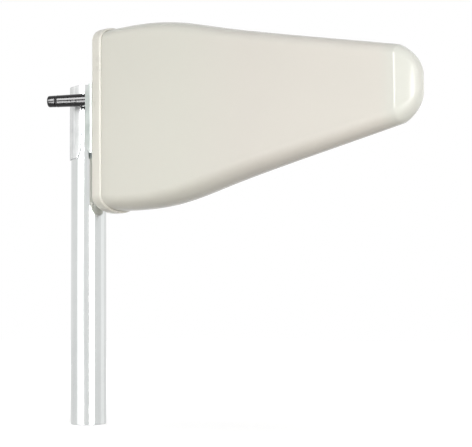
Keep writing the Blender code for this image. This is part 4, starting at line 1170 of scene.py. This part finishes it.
def make_jack():
    shoulder = SEAT_OUTER + GAP
    shoulder_end = shoulder + JACK_SHOULDER
    tail = point_profile(JACK_MOUTH, JACK_OUTER, 1)
    head = [
        tail[-1],
        (JACK_BORE, -JACK_INNER),
        (JACK_RADIUS, -JACK_INNER),
        (JACK_RADIUS, shoulder),
        *eased_collar(JACK_SHOULDER_RADIUS, JACK_SHOULDER_EASE, shoulder, shoulder_end),
        (JACK_RADIUS, shoulder_end),
        (JACK_RADIUS, JACK_PLAIN),
    ]
    start, end = JACK_PLAIN + JACK_LEAD, JACK_OUTER - JACK_RUN_OUT
    place = along(OUTLET, OUTLET_AXIS)
    bm = bmesh.new()
    thread(bm, place, start, end, JACK_RADIUS, JACK_PITCH, JACK_CUT, head, tail, JACK_SIDES)
    bmesh.ops.remove_doubles(bm, verts=bm.verts, dist=SAME_POINT)
    obj = mesh_object("jack_threaded_barrel", bm)
    finish_piece(obj, "head", NICKEL, ["jack_barrel"], weighted=False)


make_radome()
make_cap()
make_mast()
make_bracket()
make_cradle()
make_strap()
make_clamp_fasteners()
make_bracket_bolts()
make_cap_screws()
make_boot()
make_jack()


# Stage, light and camera

FILL_COLOUR = (1.0, 0.985, 0.96, 1.0)
FILL_STRENGTH = 0.08
FLOOR_HALF_SIDE = 5.0
FLOOR_BELOW = 0.4 * MM
FLOOR_PALE = (0.80, 0.80, 0.80, 1.0)
FLOOR_BOUNCE = (0.26, 0.23, 0.19, 1.0)
FLOOR_POLISH = (0.95, 0.95, 0.95, 1.0)
FLOOR_POLISH_ROUGHNESS = 0.20
FLOOR_FADE = (0.15, 1.50)  # distances between which the glow grows
FLOOR_GLOW = (0.50, 1.0)

PHOTO_WIDTH = 472.0  # pixels
FOCAL_LENGTH = 1168.2  # pixels
SENSOR_WIDTH = 36.0
CAMERA_SPOT = (0.8713, -1.0142, 0.1120)
CAMERA_YAW = math.radians(33.463)
CAMERA_PITCH = math.radians(3.937)
CAMERA_ROLL = math.radians(-0.440)
CAMERA_SHIFT = 0.04


def make_world():
    """A dim fill for diffuse light, and white where the world is seen or mirrored."""
    world = bpy.data.worlds.new("studio")
    world.use_nodes = True
    bpy.context.scene.world = world
    tree = world.node_tree
    tree.nodes.clear()
    add, link = tree.nodes.new, tree.links.new
    path = add("ShaderNodeLightPath")
    seen = add("ShaderNodeMath")
    seen.operation = "MAXIMUM"
    link(path.outputs["Is Camera Ray"], seen.inputs[0])
    link(path.outputs["Is Glossy Ray"], seen.inputs[1])
    fill = add("ShaderNodeBackground")
    set_inputs(fill, Color=FILL_COLOUR, Strength=FILL_STRENGTH)
    white = add("ShaderNodeBackground")
    set_inputs(white, Color=(1.0, 1.0, 1.0, 1.0))
    mix = add("ShaderNodeMixShader")
    output = add("ShaderNodeOutputWorld")
    link(seen.outputs[0], mix.inputs["Fac"])
    link(fill.outputs[0], mix.inputs[1])
    link(white.outputs[0], mix.inputs[2])
    link(mix.outputs[0], output.inputs["Surface"])


def floor_material():
    """White to the camera, with a faint shadow near the mast; polished in mirrors, warm in bounces."""
    material = bpy.data.materials.new("studio_floor")
    material.use_nodes = True
    tree = material.node_tree
    tree.nodes.clear()
    add, link = tree.nodes.new, tree.links.new
    path = add("ShaderNodeLightPath")
    bounce = add("ShaderNodeBsdfDiffuse")
    set_inputs(bounce, Color=FLOOR_BOUNCE)
    polish = add("ShaderNodeBsdfGlossy")
    set_inputs(polish, Color=FLOOR_POLISH, Roughness=FLOOR_POLISH_ROUGHNESS)
    pale = add("ShaderNodeBsdfDiffuse")
    set_inputs(pale, Color=FLOOR_PALE)
    glow = add("ShaderNodeEmission")
    place = add("ShaderNodeTexCoord")
    distance = add("ShaderNodeVectorMath")
    distance.operation = "LENGTH"
    fade = add("ShaderNodeMapRange")
    fade.interpolation_type = "SMOOTHSTEP"
    (near, far), (dim, full) = FLOOR_FADE, FLOOR_GLOW
    set_inputs(fade, From_Min=near, From_Max=far, To_Min=dim, To_Max=full)
    link(place.outputs["Object"], distance.inputs[0])
    link(distance.outputs["Value"], fade.inputs["Value"])
    link(fade.outputs["Result"], glow.inputs["Strength"])
    seen = add("ShaderNodeAddShader")
    mirrored = add("ShaderNodeMixShader")
    mix = add("ShaderNodeMixShader")
    output = add("ShaderNodeOutputMaterial")
    link(pale.outputs[0], seen.inputs[0])
    link(glow.outputs[0], seen.inputs[1])
    link(path.outputs["Is Glossy Ray"], mirrored.inputs["Fac"])
    link(bounce.outputs[0], mirrored.inputs[1])
    link(polish.outputs[0], mirrored.inputs[2])
    link(path.outputs["Is Camera Ray"], mix.inputs["Fac"])
    link(mirrored.outputs[0], mix.inputs[1])
    link(seen.outputs[0], mix.inputs[2])
    link(mix.outputs[0], output.inputs["Surface"])
    return material


def make_floor():
    bm = bmesh.new()
    bmesh.ops.create_grid(bm, x_segments=2, y_segments=2, size=FLOOR_HALF_SIDE)
    floor = mesh_object("studio_floor", bm)
    floor.location = (0.0, 0.0, -FLOOR_BELOW)
    floor.data.materials.append(floor_material())


def softbox(name, spot, target, size, radiance, mirrored=True, lit=True):
    """An area lamp; mirrored shows in reflections, lit adds to diffuse light."""
    width, height = size
    light = bpy.data.lights.new(name, "AREA")
    light.shape = "RECTANGLE"
    light.size = width
    light.size_y = height
    light.energy = radiance * math.pi * width * height
    lamp = bpy.data.objects.new(name, light)
    lamp.location = spot
    lamp.rotation_mode = "QUATERNION"
    lamp.rotation_quaternion = (Vector(target) - Vector(spot)).to_track_quat("-Z", "Y")
    lamp.visible_camera = False
    lamp.visible_glossy = mirrored
    lamp.visible_diffuse = lit
    bpy.context.scene.collection.objects.link(lamp)


def make_lamps():
    """Fills that only light, panels that only show in reflections, and two that do both."""
    softbox("left_softbox", (-0.48, -1.78, 0.25), (0.05, 0.0, 0.34), (1.50, 0.92), 0.65, lit=False)
    softbox("nose_softbox", (1.66, -0.82, 0.25), (0.05, 0.0, 0.32), (0.88, 0.92), 2.9)
    softbox("nose_fill", (1.95, -0.55, 0.25), (0.20, 0.0, 0.32), (0.90, 0.92), 5.2, mirrored=False)
    softbox("front_fill", (0.30, -1.10, 0.08), (0.20, 0.0, 0.32), (2.00, 0.16), 8.3, mirrored=False)
    softbox("quarter_fill", (1.35, -1.15, 0.12), (0.20, 0.0, 0.32), (1.20, 0.24), 5.6, mirrored=False)
    softbox("top_fill", (0.20, -0.20, 1.70), (0.15, 0.0, 0.34), (1.20, 1.00), 1.7, mirrored=False)
    softbox("end_panel", (1.10, 1.50, 0.32), (0.00, 0.0, 0.32), (1.20, 0.92), 0.22)
    softbox("end_fill", (1.75, 0.60, 0.30), (0.30, 0.0, 0.32), (1.10, 0.92), 0.9, mirrored=False)
    softbox("rear_fill", (-1.75, -0.60, 0.28), (0.00, 0.0, 0.30), (1.20, 0.90), 5.5, mirrored=False)
    softbox("far_fill", (0.40, 2.10, 0.45), (0.20, 0.0, 0.34), (1.60, 1.00), 6.0, mirrored=False)
    softbox("back_fill", (-1.55, 0.95, 0.45), (0.00, 0.0, 0.34), (1.20, 1.00), 4.5, mirrored=False)
    softbox("high_panel", (-0.05, -4.0, 2.00), (0.00, 0.0, 0.36), (0.90, 2.50), 29.0, lit=False)
    softbox("streak_panel", (1.56, -0.99, 0.30), (0.20, 0.0, 0.32), (0.55, 0.80), 16.0, lit=False)


def make_camera():
    level = math.cos(CAMERA_PITCH)
    ahead = Vector((-math.sin(CAMERA_YAW) * level, math.cos(CAMERA_YAW) * level, math.sin(CAMERA_PITCH)))
    side = Vector((math.cos(CAMERA_YAW), math.sin(CAMERA_YAW), 0.0))
    over = side.cross(ahead)
    right = side * math.cos(CAMERA_ROLL) + over * math.sin(CAMERA_ROLL)
    up = over * math.cos(CAMERA_ROLL) - side * math.sin(CAMERA_ROLL)
    data = bpy.data.cameras.new("photo_camera")
    data.sensor_width = SENSOR_WIDTH
    data.lens = FOCAL_LENGTH * SENSOR_WIDTH / PHOTO_WIDTH
    data.shift_y = CAMERA_SHIFT
    camera = bpy.data.objects.new("photo_camera", data)
    turn = Matrix((right, up, -ahead)).transposed().to_4x4()
    camera.matrix_world = Matrix.Translation(CAMERA_SPOT) @ turn
    bpy.context.scene.collection.objects.link(camera)
    bpy.context.scene.camera = camera


make_world()
make_floor()
make_lamps()
make_camera()
bpy.context.scene.view_settings.view_transform = "Standard"
